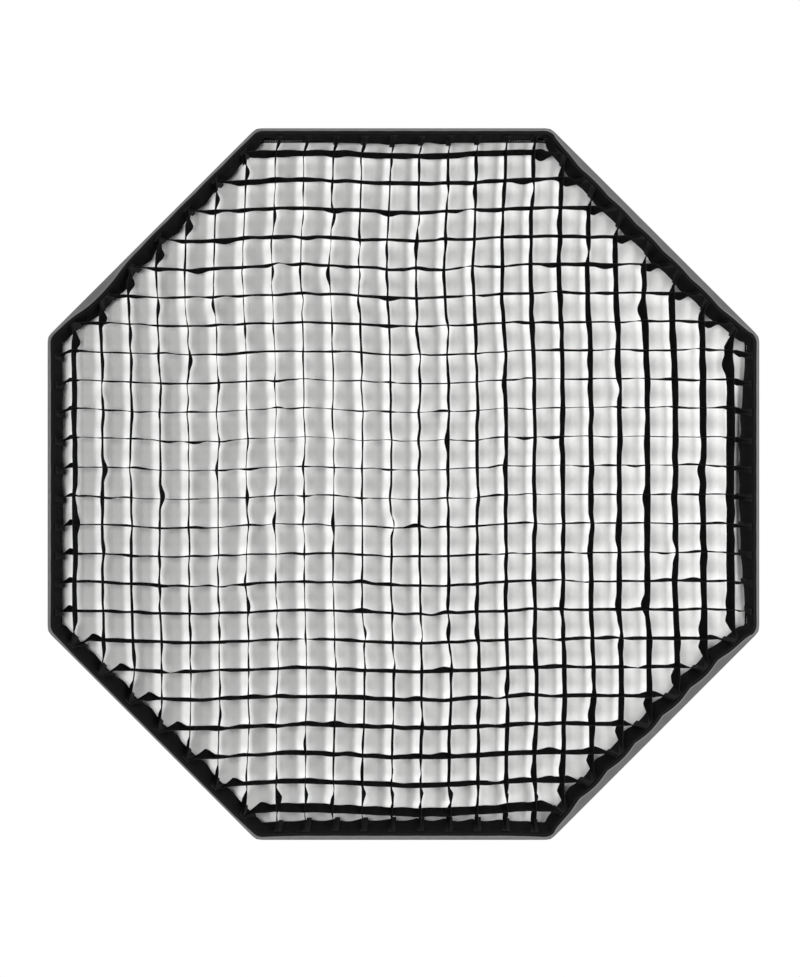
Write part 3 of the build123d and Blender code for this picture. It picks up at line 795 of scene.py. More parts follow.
@dataclass(frozen=True)
class Rod3D:
    """A straight round piece: where it starts, its direction, length and radius."""

    start: Array
    axis: Array
    length: float
    radius: float

    @classmethod
    def fit(cls, points: Array) -> "Rod3D":
        """Fit the piece's axis to its points, with the axis pointing to the front."""
        centre = (points.max(axis=0) + points.min(axis=0)) / 2
        spread = points - points.mean(axis=0)
        axis = np.linalg.svd(spread, full_matrices=False)[2][0]
        axis = axis if axis[1] < 0 else -axis
        run = (points - centre) @ axis
        across = points - centre - np.outer(run, axis)
        centre = centre + (across.max(axis=0) + across.min(axis=0)) / 2
        across = points - centre - np.outer((points - centre) @ axis, axis)
        return cls(centre + axis * run.min(), axis, run.max() - run.min(), np.linalg.norm(across, axis=1).max())


@dataclass
class ShellProfile:
    """The shell's outer line through the middle of a flat, from the rear opening to the seam."""

    stations: int = 49
    radius: Array = field(init=False)
    y: Array = field(init=False)
    length: Array = field(init=False)

    def __post_init__(self) -> None:
        """Read the line off a panel that faces +X and space it evenly."""
        corners = np.unique(np.round(node_points("shell_panel_5")[:, :2] * [-1, 1], 5), axis=0)
        if corners[:, 0].mean() < 0:
            corners = corners * [-1, 1]
        line: list = []
        for point in corners:
            while len(line) > 1 and self.turns_left(line[-2], line[-1], point):
                line.pop()
            line.append(point)
        outer = np.array(line)
        run = run_lengths(outer, closed=False)
        self.length = np.linspace(0, run[-1], self.stations)
        self.radius = np.interp(self.length, run, outer[:, 0])
        self.y = np.interp(self.length, run, outer[:, 1])
        LOG.info("shell profile: %d corners, %.0f mm long", len(outer), run[-1] / MM)

    @staticmethod
    def turns_left(a: Array, b: Array, c: Array) -> bool:
        """Whether the line turns left at b, which puts b on the inner face."""
        return (b[0] - a[0]) * (c[1] - a[1]) - (b[1] - a[1]) * (c[0] - a[0]) >= 0

    def normals(self) -> Array:
        """Outward unit vectors (radius, y) along the line."""
        tangent = unit(np.stack([np.gradient(self.radius), np.gradient(self.y)], axis=1))
        return np.stack([-tangent[:, 1], tangent[:, 0]], axis=1)

    def on_flat(self, angle: float, lateral: Array, lift: Array) -> Array:
        """Points on the flat that faces an angle.

        Args:
            angle: the flat's facing angle.
            lateral: distances sideways from the flat's middle, as (stations, columns).
            lift: distances outwards, with the same shape.

        Returns:
            Points as (stations, columns, 3).
        """
        n = self.normals()
        out = self.radius[:, None] + n[:, :1] * lift
        y = self.y[:, None] + n[:, 1:] * lift
        x = out * math.cos(angle) - lateral * math.sin(angle)
        z = out * math.sin(angle) + lateral * math.cos(angle)
        return np.stack([x, y, z], axis=2)


def ripples(u: Array, v: Array, wavelength: float, seed: int, count: int = 7, slant: float = math.pi) -> Array:
    """Uneven waves from -1 to 1, as a sum of sines.

    Args:
        u: distances in one direction, in metres.
        v: distances in the other.
        wavelength: the middle wavelength in metres.
        seed: seed of the waves' directions and phases.
        count: number of waves.
        slant: how far the waves may turn from running along u.

    Returns:
        The waves' height at each point.
    """
    rng = np.random.default_rng(seed)
    total = np.zeros(np.broadcast(u, v).shape)
    for _ in range(count):
        angle = rng.uniform(-slant, slant) / 2
        number = 2 * math.pi / (wavelength * rng.uniform(0.6, 1.7))
        total += np.sin((u * math.cos(angle) + v * math.sin(angle)) * number + rng.uniform(0, 2 * math.pi))
    return total / math.sqrt(count) / 1.4


def ease(share: Array) -> Array:
    """Smooth step from 0 to 1 over a share from 0 to 1."""
    share = np.clip(share, 0, 1)
    return share * share * (3 - 2 * share)


# ------------------------------------------------------------------ the lip's slack
@dataclass(frozen=True)
class Pull:
    """A tug that takes cloth aside: how far in millimetres, where it is strongest and its reach."""

    size: float
    at: float
    reach: float

    def along(self, places: Array) -> Array:
        """The tug in millimetres at places along the cloth."""
        return self.size * np.exp(-(((places - self.at) / self.reach) ** 2))


@dataclass
class LipShape:
    """How the lip's hem and the grid's border are drawn inwards where the grid pulls on them.

    Amounts are in millimetres. hem_sag is the middle of each side, and scallop is the depth of
    the small arcs between the strips' ends. lean is how far the border's rear edge stands inside
    its front edge, and bow adds to it at the middle of a side. spread is how far the hem stands
    outside its sewn line everywhere, and swell is one slack fold on the upper left side.
    """

    pitch: float
    # Each tuple runs round the octagon in the order of Side, in millimetres.
    hem_sag: tuple[float, ...] = (0.2, 6.0, 0.0, -0.5, 0.5, -2.0, 2.0, 6.5)
    scallop: tuple[float, ...] = (0.3, 1.8, 0.3, 0.8, 0.3, 0.3, 0.3, 4.0)
    lean: tuple[float, ...] = (3.0, 10.0, -1.5, 8.5, 6.0, 11.0, 12.0, 11.0)
    bow: tuple[float, ...] = (13.0, 3.0, 10.0, 1.0, 1.0, 1.0, 1.0, 2.0)
    rear_scallop: tuple[float, ...] = (2.0, 3.0, 1.5, 5.5, 3.0, 4.5, 4.0, 2.5)
    spread: float = 3.0
    swell: Pull = Pull(9.0, at=0.58, reach=0.25)

    def amounts(self, table: tuple[float, ...], side: Array, turn: Array) -> Array:
        """Amount of each station's side in metres, eased to the next side's in the corners."""
        values = np.array(table) * MM
        return values[side] + (values[(side + 1) % SIDES] - values[side]) * turn

    def arcs(self, side: Array, tau: Array, half: float) -> Array:
        """Small arcs from 0 between the strips' ends to 1 where a strip is sewn on."""
        step = self.pitch * np.where(side % 2 == 1, math.sqrt(2), 1.0)
        return 1 - np.abs(np.sin(math.pi * (tau * half * CORNER_TAN / step + 0.5)))

    def hem_inset(self, side: Array, tau: Array, turn: Array, half: float) -> Array:
        """How far the hem is drawn inwards at each station.

        Args:
            side: side of each station.
            tau: place on the side from -1 to 1.
            turn: turn into the corner from 0 to 1.
            half: half the octagon's width.

        Returns:
            Distances inwards in metres.
        """
        span = np.clip((1 - np.abs(tau)) * 4, 0, 1) ** 0.7 * (turn == 0)
        pulled = self.amounts(self.scallop, side, turn) * self.arcs(side, tau, half)
        swell = self.swell.along(tau) * MM * (side == Side.UPPER_LEFT.value)
        return (self.amounts(self.hem_sag, side, turn) + pulled + swell) * span - self.spread * MM

    def rear_inset(self, side: Array, tau: Array, turn: Array, half: float) -> Array:
        """How far the border's rear edge stands inside the octagon at each station."""
        span = (1 - tau**2) * (turn == 0)
        wave = ripples(tau * half, side * 1.7, 90 * MM, seed=31) * 1.2 * MM
        pulled = self.amounts(self.rear_scallop, side, turn) * self.arcs(side, tau, half)
        lean = self.amounts(self.lean, side, turn) + self.amounts(self.bow, side, turn) * span
        return self.hem_inset(side, tau, turn, half) + lean + (wave + pulled) * span


@dataclass(frozen=True)
class EndFold:
    """How a strip's last stretch folds before it is sewn to the border, in millimetres.

    gather moves the end outwards along the border's normal, and slide moves it along the border.
    peak stands the rear edge off the front edge at peak_at from the end, over peak_half each
    way, and dip sags both edges there.
    """

    gather: float = 0.0
    slide: float = 0.0
    peak: float = 3.0
    peak_at: float = 10.0
    peak_half: float = 13.0
    dip: float = 0.0


END_FOLDS = {
    (Run.CROSS, Side.LEFT): EndFold(peak=11, peak_at=11, peak_half=11),
    (Run.CROSS, Side.RIGHT): EndFold(peak=-4, peak_at=9, peak_half=12),
    (Run.CROSS, Side.UPPER_LEFT): EndFold(gather=7, peak=-3, peak_at=30, peak_half=16),
    (Run.CROSS, Side.LOWER_LEFT): EndFold(gather=8, peak=10, peak_at=15, peak_half=17),
    (Run.CROSS, Side.UPPER_RIGHT): EndFold(gather=9, peak=-5, peak_at=16, peak_half=18, dip=-4),
    (Run.CROSS, Side.LOWER_RIGHT): EndFold(gather=2, peak=4.5, peak_at=18, peak_half=24, dip=1),
    (Run.UPRIGHT, Side.TOP): EndFold(slide=8, peak=3, peak_at=4, peak_half=16),
    (Run.UPRIGHT, Side.BOTTOM): EndFold(slide=4, peak=6, peak_at=42, peak_half=22),
    (Run.UPRIGHT, Side.UPPER_LEFT): EndFold(gather=5, peak=6, peak_at=16, peak_half=17, dip=2),
    (Run.UPRIGHT, Side.LOWER_LEFT): EndFold(gather=8, peak=-3, peak_at=10, peak_half=12),
    (Run.UPRIGHT, Side.UPPER_RIGHT): EndFold(gather=8, peak=-3, peak_at=14, peak_half=16),
    (Run.UPRIGHT, Side.LOWER_RIGHT): EndFold(gather=8, peak=-5.5, peak_at=13, peak_half=15),
}


# ------------------------------------------------------------------ sub-assemblies
@dataclass(frozen=True)
class Plan:
    """How a made piece is finished, thickened, placed and, when it is a sheet, cut.

    A thickness of nothing leaves the piece as it is. A second finish lines the grown side. flat
    is the width and length of a sheet's cut in metres, area its flat area where the cut isn't
    a rectangle, and rests_on what it is sewn to or lies on.
    """

    slot: str
    node: str = ""
    finishes: tuple[Finish, ...] = ()
    thickness: float = 0.0
    offset: float = -1.0
    flat: Optional[tuple[float, float]] = None
    area: Optional[float] = None
    held: str = "stretched"
    rests_on: str = ""


@dataclass
class SubAssembly:
    """A group of pieces that are made and sewn together."""

    stitcher: Stitcher
    plans: list[tuple[bpy.types.Object, Plan]] = field(default_factory=list, init=False)

    body = "softbox"

    def build(self) -> None:
        """Make the pieces' meshes in place and plan how each is finished."""
        raise NotImplementedError

    def plan(self, obj: bpy.types.Object, slot: str, node: str = "", *finishes: Finish, **rest) -> bpy.types.Object:
        """Plan a piece.

        Args:
            obj: the made piece.
            slot: the name of its material slot.
            node: the CAD node it stands for.
            finishes: its finishes, outer side first.
            rest: more of the plan's fields.

        Returns:
            The same piece.
        """
        self.plans.append((obj, Plan(slot, node, finishes, **rest)))
        return obj

    def thread(self, name: str, slot: str, lines: Sequence[Array], closed: bool, finish: Finish, seed: int) -> None:
        """Sew rows of stitches and plan them."""
        self.plan(self.stitcher.sew(name, lines, closed, finish, seed), slot)

    def dress(self) -> None:
        """Give each piece its finish and thickness, and place it."""
        for obj, plan in self.plans:
            dress(obj, *plan.finishes)
            if plan.thickness:
                thicken(obj, plan.thickness, plan.offset, lining=len(plan.finishes) > 1)
            place_piece(obj, self.body, plan.slot, *filter(None, [plan.node]))


@dataclass
class Shell(SubAssembly):
    """The eight gores, the bindings over their seams, the rear collar and the front piping."""

    profile: ShellProfile
    gore_columns: int = 33
    draw_in: float = 9 * MM
    seam_gap: float = 0.3 * MM
    thickness: float = 0.7 * MM
    binding_half: float = 4.5 * MM
    binding_lift: float = 0.5 * MM
    binding_thickness: float = 0.8 * MM
    binding_stitch: float = 3.1 * MM
    collar_width: float = 20 * MM
    collar_rise: float = 1.35 * MM
    collar_thickness: float = 1.2 * MM
    collar_corner_r: float = 5 * MM
    collar_hem: float = 2.5 * MM
    piping_corner_r: float = 25 * MM

    def build(self) -> None:
        """Make the shell."""
        self.build_gores()
        self.build_bindings()
        self.build_collar()
        self.build_piping()

    def gore_node(self, facing: float) -> str:
        """Name of the CAD panel that faces an angle."""
        for index in range(1, SIDES + 1):
            low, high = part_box(f"shell_panel_{index}")
            middle = (low + high) / 2
            if math.cos(math.atan2(middle.z, middle.x) - facing) > 0.99:
                return f"shell_panel_{index}"
        raise ValueError(f"no panel faces {facing}")

    def build_gores(self) -> None:
        """Make each gore: a dish between two rods, drawn inwards by the cloth's tension."""
        p = self.profile
        share = (p.length / p.length[-1])[:, None]
        u = np.linspace(-1, 1, self.gore_columns)[None, :]
        across = p.radius[:, None] * CORNER_TAN - self.seam_gap
        for k in range(SIDES):
            facing = k * SIDE_STEP
            lateral = u * across
            free = (1 - u**2) * np.sin(math.pi * np.clip(share, 0, 1)) ** 0.8
            pull = self.draw_in * free
            creases = ripples(lateral, p.length[:, None] + 0 * u, 120 * MM, seed=11 + k, slant=0.9) * 1.3 * MM
            front = ripples(lateral, 0 * lateral, 46 * MM, seed=51 + k, slant=0.2) * 1.0 * MM * share**6
            lift = -pull + (creases + front) * np.minimum(free * 3, 1)
            node = self.gore_node(facing)
            rows = p.on_flat(facing, lateral, lift)
            gore = sheet_object(node.replace("shell_panel", "gore"), rows)
            half_width = p.radius * CORNER_TAN
            self.plan(
                gore, "shell_nylon", node, Finish.SHELL, Finish.LINING, thickness=self.thickness,
                flat=(2 * half_width[-1], p.length[-1]), area=float(np.trapz(2 * half_width, p.length)),
                rests_on="seam_bindings",
            )

    def corner_ribbon(self, corner: int, offsets: Array, lift: float) -> Array:
        """Rows of points that follow a corner seam.

        Args:
            corner: the seam's number; it lies between flats corner and corner + 1.
            offsets: distances sideways from the seam, below zero on the first flat.
            lift: distance outwards.

        Returns:
            Points as (stations, offsets, 3).
        """
        p = self.profile
        edge = p.radius[:, None] * CORNER_TAN + 0 * offsets[None]
        up = np.full_like(edge, lift)
        first = p.on_flat(corner * SIDE_STEP, edge + np.minimum(offsets, 0), up)
        second = p.on_flat((corner + 1) * SIDE_STEP, -edge + np.maximum(offsets, 0), up)
        share = (np.sign(offsets) + 1)[None, :, None] / 2
        return first * (1 - share) + second * share

    def build_bindings(self) -> None:
        """Make the tapes over the corner seams, with a row of stitches along each edge."""
        offsets = np.linspace(-self.binding_half, self.binding_half, 9)
        ribbons = [self.corner_ribbon(k, offsets, self.binding_lift) for k in range(SIDES)]
        tape = join([sheet_object(f"binding_{k}", rows) for k, rows in enumerate(ribbons)], "seam_binding_tapes")
        self.plan(tape, "binding_tape", "seam_bindings", Finish.BINDING, thickness=self.binding_thickness, offset=1.0)
        rise = self.binding_lift + self.binding_thickness + THREAD_LIFT
        edges = [np.array([edge]) for edge in (-self.binding_stitch, self.binding_stitch)]
        rows = [self.corner_ribbon(k, edge, rise)[:, 0] for k in range(SIDES) for edge in edges]
        self.thread("seam_binding_stitches", "binding_tape", rows, False, Finish.THREAD, 5)

    def collar_rings(self, runs: Sequence[float], rise: float) -> list[Array]:
        """Rings round the rear opening, at distances along the shell and a rise off it."""
        p, path = self.profile, OctagonPath(straight=9, corner=5)
        out, rear = p.normals()[0] * rise
        places = [(np.interp(run, p.length, p.radius), np.interp(run, p.length, p.y)) for run in runs]
        return [path.ring(radius + out, self.collar_corner_r, y + rear) for radius, y in places]

    def build_collar(self) -> None:
        """Make the webbing collar round the rear opening."""
        p, width = self.profile, self.collar_width
        rings = self.collar_rings(np.linspace(0, width, 7), self.collar_rise)
        collar = hoop("rear_collar_webbing", rings)
        self.plan(
            collar, "webbing", "rear_collar", Finish.WEBBING, thickness=self.collar_thickness, offset=1.0,
            flat=(girth(np.interp(width, p.length, p.radius)), width), rests_on=self.plans[0][0].name,
        )
        rise = self.collar_rise + self.collar_thickness + THREAD_LIFT
        rows = self.collar_rings((self.collar_hem, width - self.collar_hem), rise)
        self.thread("rear_collar_stitches", "webbing", rows, True, Finish.THREAD, 7)

    def build_piping(self) -> None:
        """Make the piping round the front seam."""
        size = Extent.of("seam_piping")
        radius, middle = (size.rear - size.front) / 2, (size.rear + size.front) / 2
        path = OctagonPath()
        rings = []
        for turn in np.linspace(0, 2 * math.pi, 12, endpoint=False):
            half = size.half - radius + radius * math.cos(turn)
            rings.append(path.ring(half, self.piping_corner_r, middle + radius * math.sin(turn)))
        piping = hoop("front_seam_piping", rings, tube=True)
        self.plan(smooth(piping, 60), "piping", "seam_piping", Finish.PIPING)


@dataclass
class Lip(SubAssembly):
    """The skirt in front of the piping, with its hem and the loop tape inside it."""

    shape: LipShape
    path: OctagonPath = field(default_factory=OctagonPath)
    thickness: float = 1.2 * MM
    corner_r: float = 25 * MM
    hem_corner_r: float = 20 * MM
    hem_width: float = 32 * MM
    hem_gap: float = 1.5 * MM
    slope_width: float = 60 * MM
    slope_bow: float = 1.5 * MM
    stitch_inset: float = 3 * MM

    def build(self) -> None:
        """Make the skirt, the hem's fold and the loop tape."""
        self.build_skirt()
        self.build_loop_tape()

    def inset(self, share: float, half: float) -> Array:
        """The stations' inset at a share of the way from the piping to the hem."""
        return self.shape.hem_inset(*self.path.stations(), half) * share

    def build_skirt(self) -> None:
        """Make the skirt: it slopes in to the hem, then the hem stands straight."""
        size, tape = Extent.of("front_skirt"), Extent.of("hem_loop_tape")
        hem_half = tape.half + self.hem_gap
        fold_y = size.front + self.hem_width
        slope = np.linspace(0, 1, 9)
        wrinkle = ripples(self.path.tau * size.half, self.path.side * 2.3, 55 * MM, seed=3, slant=0.3) * MM
        rings = []
        for share in slope:
            y = size.rear + (fold_y - size.rear) * share
            arch = math.sin(math.pi * share)
            half = size.half + (hem_half - size.half) * share - self.slope_bow * arch
            draw = self.inset(float(ease(np.array(share))), half) + wrinkle * 1.2 * arch
            rings.append(self.path.ring(half, self.corner_r + (self.hem_corner_r - self.corner_r) * share, y, draw))
        for share in np.linspace(0, 1, 6)[1:]:
            y = fold_y + (size.front - fold_y) * share
            rings.append(self.path.ring(hem_half, self.hem_corner_r, y, self.inset(1.0, hem_half)))
        skirt = hoop("skirt_and_hem", rings[::-1])
        self.plan(
            skirt, "skirt_nylon", "front_skirt", Finish.SKIRT, thickness=self.thickness,
            flat=(girth(size.half), self.slope_width + self.hem_width), rests_on="front_seam_piping",
        )
        inset = self.inset(1.0, hem_half)
        edges = (size.front + self.stitch_inset, size.front + self.hem_width - self.stitch_inset)
        rows = [self.path.ring(hem_half + 0.1 * MM, self.hem_corner_r, y, inset) for y in edges]
        self.thread("hem_stitches", "skirt_nylon", rows, True, Finish.THREAD, 9)

    def build_loop_tape(self) -> None:
        """Make the loop tape inside the hem."""
        size = Extent.of("hem_loop_tape")
        inset = self.inset(1.0, size.half)
        rings = [self.path.ring(size.half, self.hem_corner_r, y, inset) for y in np.linspace(size.front, size.rear, 3)]
        self.plan(
            hoop("loop_tape_ring", rings), "loop_tape", "hem_loop_tape", Finish.LOOPS,
            thickness=self.thickness, flat=(girth(size.half), size.rear - size.front), rests_on="skirt_and_hem",
        )


@dataclass
class EggCrate(SubAssembly):
    """The removable grid: a border band with 24 upright and 24 cross strips."""

    shape: LipShape
    path: OctagonPath = field(default_factory=OctagonPath)
    step: float = 4.6 * MM
    count: int = 24
    # How far the rear edges of the upright and of the cross strips stand aside.
    rear_shift: tuple[float, float] = (-3.1 * MM, 0.9 * MM)
    # The outermost strips hang slacker than the rest: their rear edges sway inwards, in mm.
    outer_slack: dict[tuple[Run, int], float] = field(
        default_factory=lambda: {
            (Run.UPRIGHT, 0): 3.0,
            (Run.UPRIGHT, 23): -2.5,
            (Run.CROSS, 0): 6.0,
            (Run.CROSS, 23): -3.0,
        }
    )
    # The upright strips are pulled to the left in the upper half and to the right in the lower.
    upper_pull: Pull = Pull(6.4, at=0.37, reach=0.12)
    lower_pull: Pull = Pull(3.7, at=-0.35, reach=0.11)
    spread_from: float = -0.22
    spread_over: float = 0.95
    # The cross strips rise from the lower half to the upper, and wave until they go slack.
    rise_over: float = 0.25
    slack_from: float = 0.12
    slack_over: float = 0.15
    crest_at: float = 0.03
    wave_length: float = 0.4
    rare_share: float = 0.09
    kink: float = 0.45 * MM
    bend_reach: float = 27.0
    fade_points: int = 6
    # Usual and rare bows of a strip's front edge, middle and rear edge, in mm.
    edge_bows: tuple[tuple[float, float], ...] = ((0.9, 2.2), (0.9, 2.5), (1.1, 4.5))
    cloth_thickness: float = 0.8 * MM
    band_thickness: float = 1.2 * MM
    tape_thickness: float = 1.3 * MM
    tab_thickness: float = 0.7 * MM
    tab_half: tuple[float, float] = (5.0, 7.0)
    corner_r: float = 16 * MM
    ribbon_tree: Tree = field(default_factory=build_ribbon_tree)

    body = "grid"

    def build(self) -> None:
        """Make the border, its hook tape and the strips."""
        self.size = Extent.of("grid_border")
        self.inner = self.size.half - self.band_thickness
        self.depth = self.size.rear - self.size.front
        self.pitch = self.shape.pitch
        border, tape = "grid_border_band", "hook_tape_ring"
        self.build_band(border, "grid_border", "grid_nylon", tape, Finish.BORDER, self.band_thickness, rows=8)
        self.build_band(tape, "grid_hook_tape", "hook_tape", border, Finish.HOOKS, self.tape_thickness, rows=4)
        self.build_strips(Run.UPRIGHT, "grid_upright_ribbons", "grid_upright_strips", seed=5)
        self.build_strips(Run.CROSS, "grid_cross_ribbons", "grid_cross_strips", seed=6)
        self.build_end_tabs()

    def places(self) -> list[float]:
        """Places of one run's strips across the grid."""
        return [(k - (self.count - 1) / 2) * self.pitch for k in range(self.count)]

    def wall_inset(self, share: float, side: Array, tau: Array, turn: Array) -> Array:
        """How far the border stands inside the octagon, from its front (0) to its rear (1)."""
        front = self.shape.hem_inset(side, tau, turn, self.inner)
        rear = self.shape.rear_inset(side, tau, turn, self.inner)
        bow = ripples(tau * self.inner, side * 1.3, 50 * MM, seed=77) * 1.2 * MM * math.sin(math.pi * share)
        return front + (rear - front) * share + bow * (1 - tau**2)

    def build_band(
        self, name: str, node: str, slot: str, rests_on: str, finish: Finish, thickness: float, rows: int
    ) -> None:
        """Make a band that leans inwards at its rear edge with the border.

        Args:
            name: the band's name.
            node: the CAD node it stands for.
            slot: the name of its material slot.
            rests_on: the band that it is sewn to.
            finish: its finish.
            thickness: its thickness in metres.
            rows: rows of points across it.
        """
        size, path = Extent.of(node), self.path
        rings = []
        for y in np.linspace(size.front, size.rear, rows):
            inset = self.wall_inset(float((y - self.size.front) / self.depth), *path.stations())
            rings.append(path.ring(size.half, self.corner_r, y, inset))
        self.plan(
            hoop(name, rings), slot, node, finish, thickness=thickness,
            flat=(girth(size.half), size.rear - size.front), rests_on=rests_on,
        )

    def meets(self, run: Run, place: float, sign: int) -> Side:
        """Which side of the border a strip's end meets."""
        if abs(place) < self.inner * CORNER_TAN:
            return {
                (Run.UPRIGHT, -1): Side.BOTTOM,
                (Run.UPRIGHT, 1): Side.TOP,
                (Run.CROSS, -1): Side.LEFT,
                (Run.CROSS, 1): Side.RIGHT,
            }[(run, sign)]
        x, z = (place, sign) if run is Run.UPRIGHT else (sign, place)
        upper = Side.UPPER_RIGHT if x > 0 else Side.UPPER_LEFT
        lower = Side.LOWER_RIGHT if x > 0 else Side.LOWER_LEFT
        return upper if z > 0 else lower

    def end(self, run: Run, place: float, share: float, sign: int) -> float:
        """Where a strip meets the border.

        Args:
            run: the strip's run.
            place: its place across the grid.
            share: 0 for its front edge, 1 for its rear edge.
            sign: -1 for its lower or left end, 1 for the other.

        Returns:
            The end's place along the strip's run.
        """
        side = self.meets(run, place, sign)
        facing = side.value * SIDE_STEP
        diagonal = side.value % 2 == 1
        reach = self.inner * math.sqrt(2) - abs(place) if diagonal else self.inner
        x, z = (place, sign * reach) if run is Run.UPRIGHT else (sign * reach, place)
        tau = (z * math.cos(facing) - x * math.sin(facing)) / (self.inner * CORNER_TAN)
        station = np.array([side.value]), np.array([np.clip(tau, -1, 1)]), np.array([0.0])
        inset = float(self.wall_inset(share, *station)[0]) * (math.sqrt(2) if diagonal else 1)
        gather = END_FOLDS[(run, side)].gather * MM if diagonal else 0.0
        return sign * (reach - inset - gather)

    def drift(self, run: Run, place: float, along: Array) -> Array:
        """How far a strip strays from its line because its neighbours pull on it.

        Args:
            run: the strip's run.
            place: its place across the grid.
            along: places along the strip.

        Returns:
            Sideways distances in metres.
        """
        if run is Run.UPRIGHT:
            spread = 0.5 + 5.9 * math.sin(math.pi * (place - self.spread_from) / self.spread_over)
            return (spread - self.upper_pull.along(along) + self.lower_pull.along(along)) * MM
        rise = 2.3 + 4.9 * math.tanh(place / self.rise_over)
        slack = ease((along - self.slack_from) / self.slack_over)
        wave = 3.4 * np.cos(2 * math.pi * (along - self.crest_at) / self.wave_length) * (1 - slack)
        return (rise - wave + 4.5 * slack) * MM

    def bows(self, along: Array, rng: np.random.Generator, size: float, rare: float) -> Array:
        """Small bows of a strip's edge, one for each cell, with a few larger ones.

        Args:
            along: places along the strip.
            rng: random generator.
            size: usual bow in metres.
            rare: size of the few larger bows.

        Returns:
            Sideways distances in metres.
        """
        cell = along / self.pitch + self.count
        index = np.floor(cell).astype(int)
        swing = rng.normal(0, size, self.count * 2 + 2)
        large = rng.random(self.count * 2 + 2) < self.rare_share
        swing = np.where(large, rng.choice([-1, 1], self.count * 2 + 2) * rare, swing)
        kink = rng.normal(0, self.kink, self.count * 2 + 3)
        share = cell - index
        hold = kink[index] * (1 - share) + kink[index + 1] * share
        return swing[index] * np.sin(math.pi * share) ** 2 + hold

    def build_strips(self, run: Run, name: str, node: str, seed: int) -> None:
        """Make the strips of one run as standing ribbons.

        Args:
            run: which way they run.
            name: the object's name.
            node: the CAD node they stand for.
            seed: seed of the strips' uneven shapes.
        """
        rng = np.random.default_rng(seed)
        points, edges, middle, rear = [], [], [], []
        total = 0.0
        for k, place in enumerate(self.places()):
            front_ends, rear_ends = ([self.end(run, place, edge, sign) for sign in (-1, 1)] for edge in (0.0, 1.0))
            n = max(int((front_ends[1] - front_ends[0]) / self.step), 8)
            share = np.linspace(0, 1, n)
            along = front_ends[0] + (front_ends[1] - front_ends[0]) * share
            behind = rear_ends[0] + (rear_ends[1] - rear_ends[0]) * share
            total += front_ends[1] - front_ends[0]
            fade = np.minimum(np.minimum(share, 1 - share) * n / self.fade_points, 1)
            stray = self.drift(run, place, along) * fade
            front_bow, middle_side, rear_side = (
                self.bows(along, rng, usual * MM, rare * MM) for usual, rare in self.edge_bows
            )
            front_side = place + stray + front_bow
            shift = self.rear_shift[run is Run.CROSS] + self.outer_slack.get((run, k), 0.0) * MM
            rear_total = shift + rear_side
            middle_total = shift / 2 + middle_side + rear_side / 2
            front_side, rear_total = self.work_ends(run, place, along, front_ends, front_side, rear_total, rng)
            length_total = behind - along
            first = len(points)
            points.extend(self.lay(run, front_side, along, self.size.front))
            middle.extend(self.lay(run, middle_total, length_total / 2, 0.0))
            rear.extend(self.lay(run, rear_total - middle_total, length_total / 2, 0.0))
            edges.extend((first + i, first + i + 1) for i in range(n - 1))
        mesh = bpy.data.meshes.new(name)
        mesh.from_pydata(points, edges, [])
        for label, rows in (("middle_sway", middle), ("rear_sway", rear)):
            layer = mesh.attributes.new(label, "FLOAT_VECTOR", "POINT")
            layer.data.foreach_set("vector", np.array(rows, dtype=np.float32).ravel())
        strips = link_object(name, mesh)
        cloth = WARDROBE.get(Finish.GRID)
        run_tree(strips, self.ribbon_tree, {"Depth": self.depth, "Thickness": self.cloth_thickness, "Cloth": cloth})
        self.plan(smooth(strips, 50), "grid_nylon", node, flat=(self.depth, total), rests_on="grid_border_band")

    def work_ends(
        self, run: Run, place: float, along: Array, ends: Sequence[float], front: Array, rear: Array,
        rng: np.random.Generator,
    ) -> tuple[Array, Array]:
        """Shape a strip's two ends, where the slack cloth folds before it is sewn to the border.

        Args:
            run: the strip's run.
            place: its place across the grid.
            along: places along the strip.
            ends: its two ends.
            front: sideways places of its front edge.
            rear: sideways sway of its rear edge.
            rng: random generator.

        Returns:
            The two edges with their ends shaped.
        """
        for end, sign in zip(ends, (-1, 1)):
            side = self.meets(run, place, sign)
            fold = END_FOLDS[(run, side)]
            facing = side.value * SIDE_STEP
            outward = math.cos(facing) if run is Run.UPRIGHT else math.sin(facing)
            away = np.abs(along - end) / MM
            size = rng.uniform(0.75, 1.2)
            moved = fold.gather * np.sign(round(outward, 3)) + fold.slide
            bend = np.clip(1 - away / self.bend_reach, 0, 1) ** 1.2 * moved
            hill = np.clip(1 - np.abs(away - fold.peak_at) / fold.peak_half, 0, 1) * size
            front = front + (bend + ease(hill) * fold.dip) * MM
            rear = rear + hill * fold.peak * MM
        return front, rear

    def build_end_tabs(self) -> None:
        """Make the turned tabs that sew each strip's end to the border's inner face."""
        rng = np.random.default_rng(12)
        tabs = [self.end_tab(run, place, sign, rng) for run in Run for place in self.places() for sign in (-1, 1)]
        self.plan(join(tabs, "grid_end_tabs"), "grid_nylon", "", Finish.TAB, thickness=self.tab_thickness, offset=0.0)

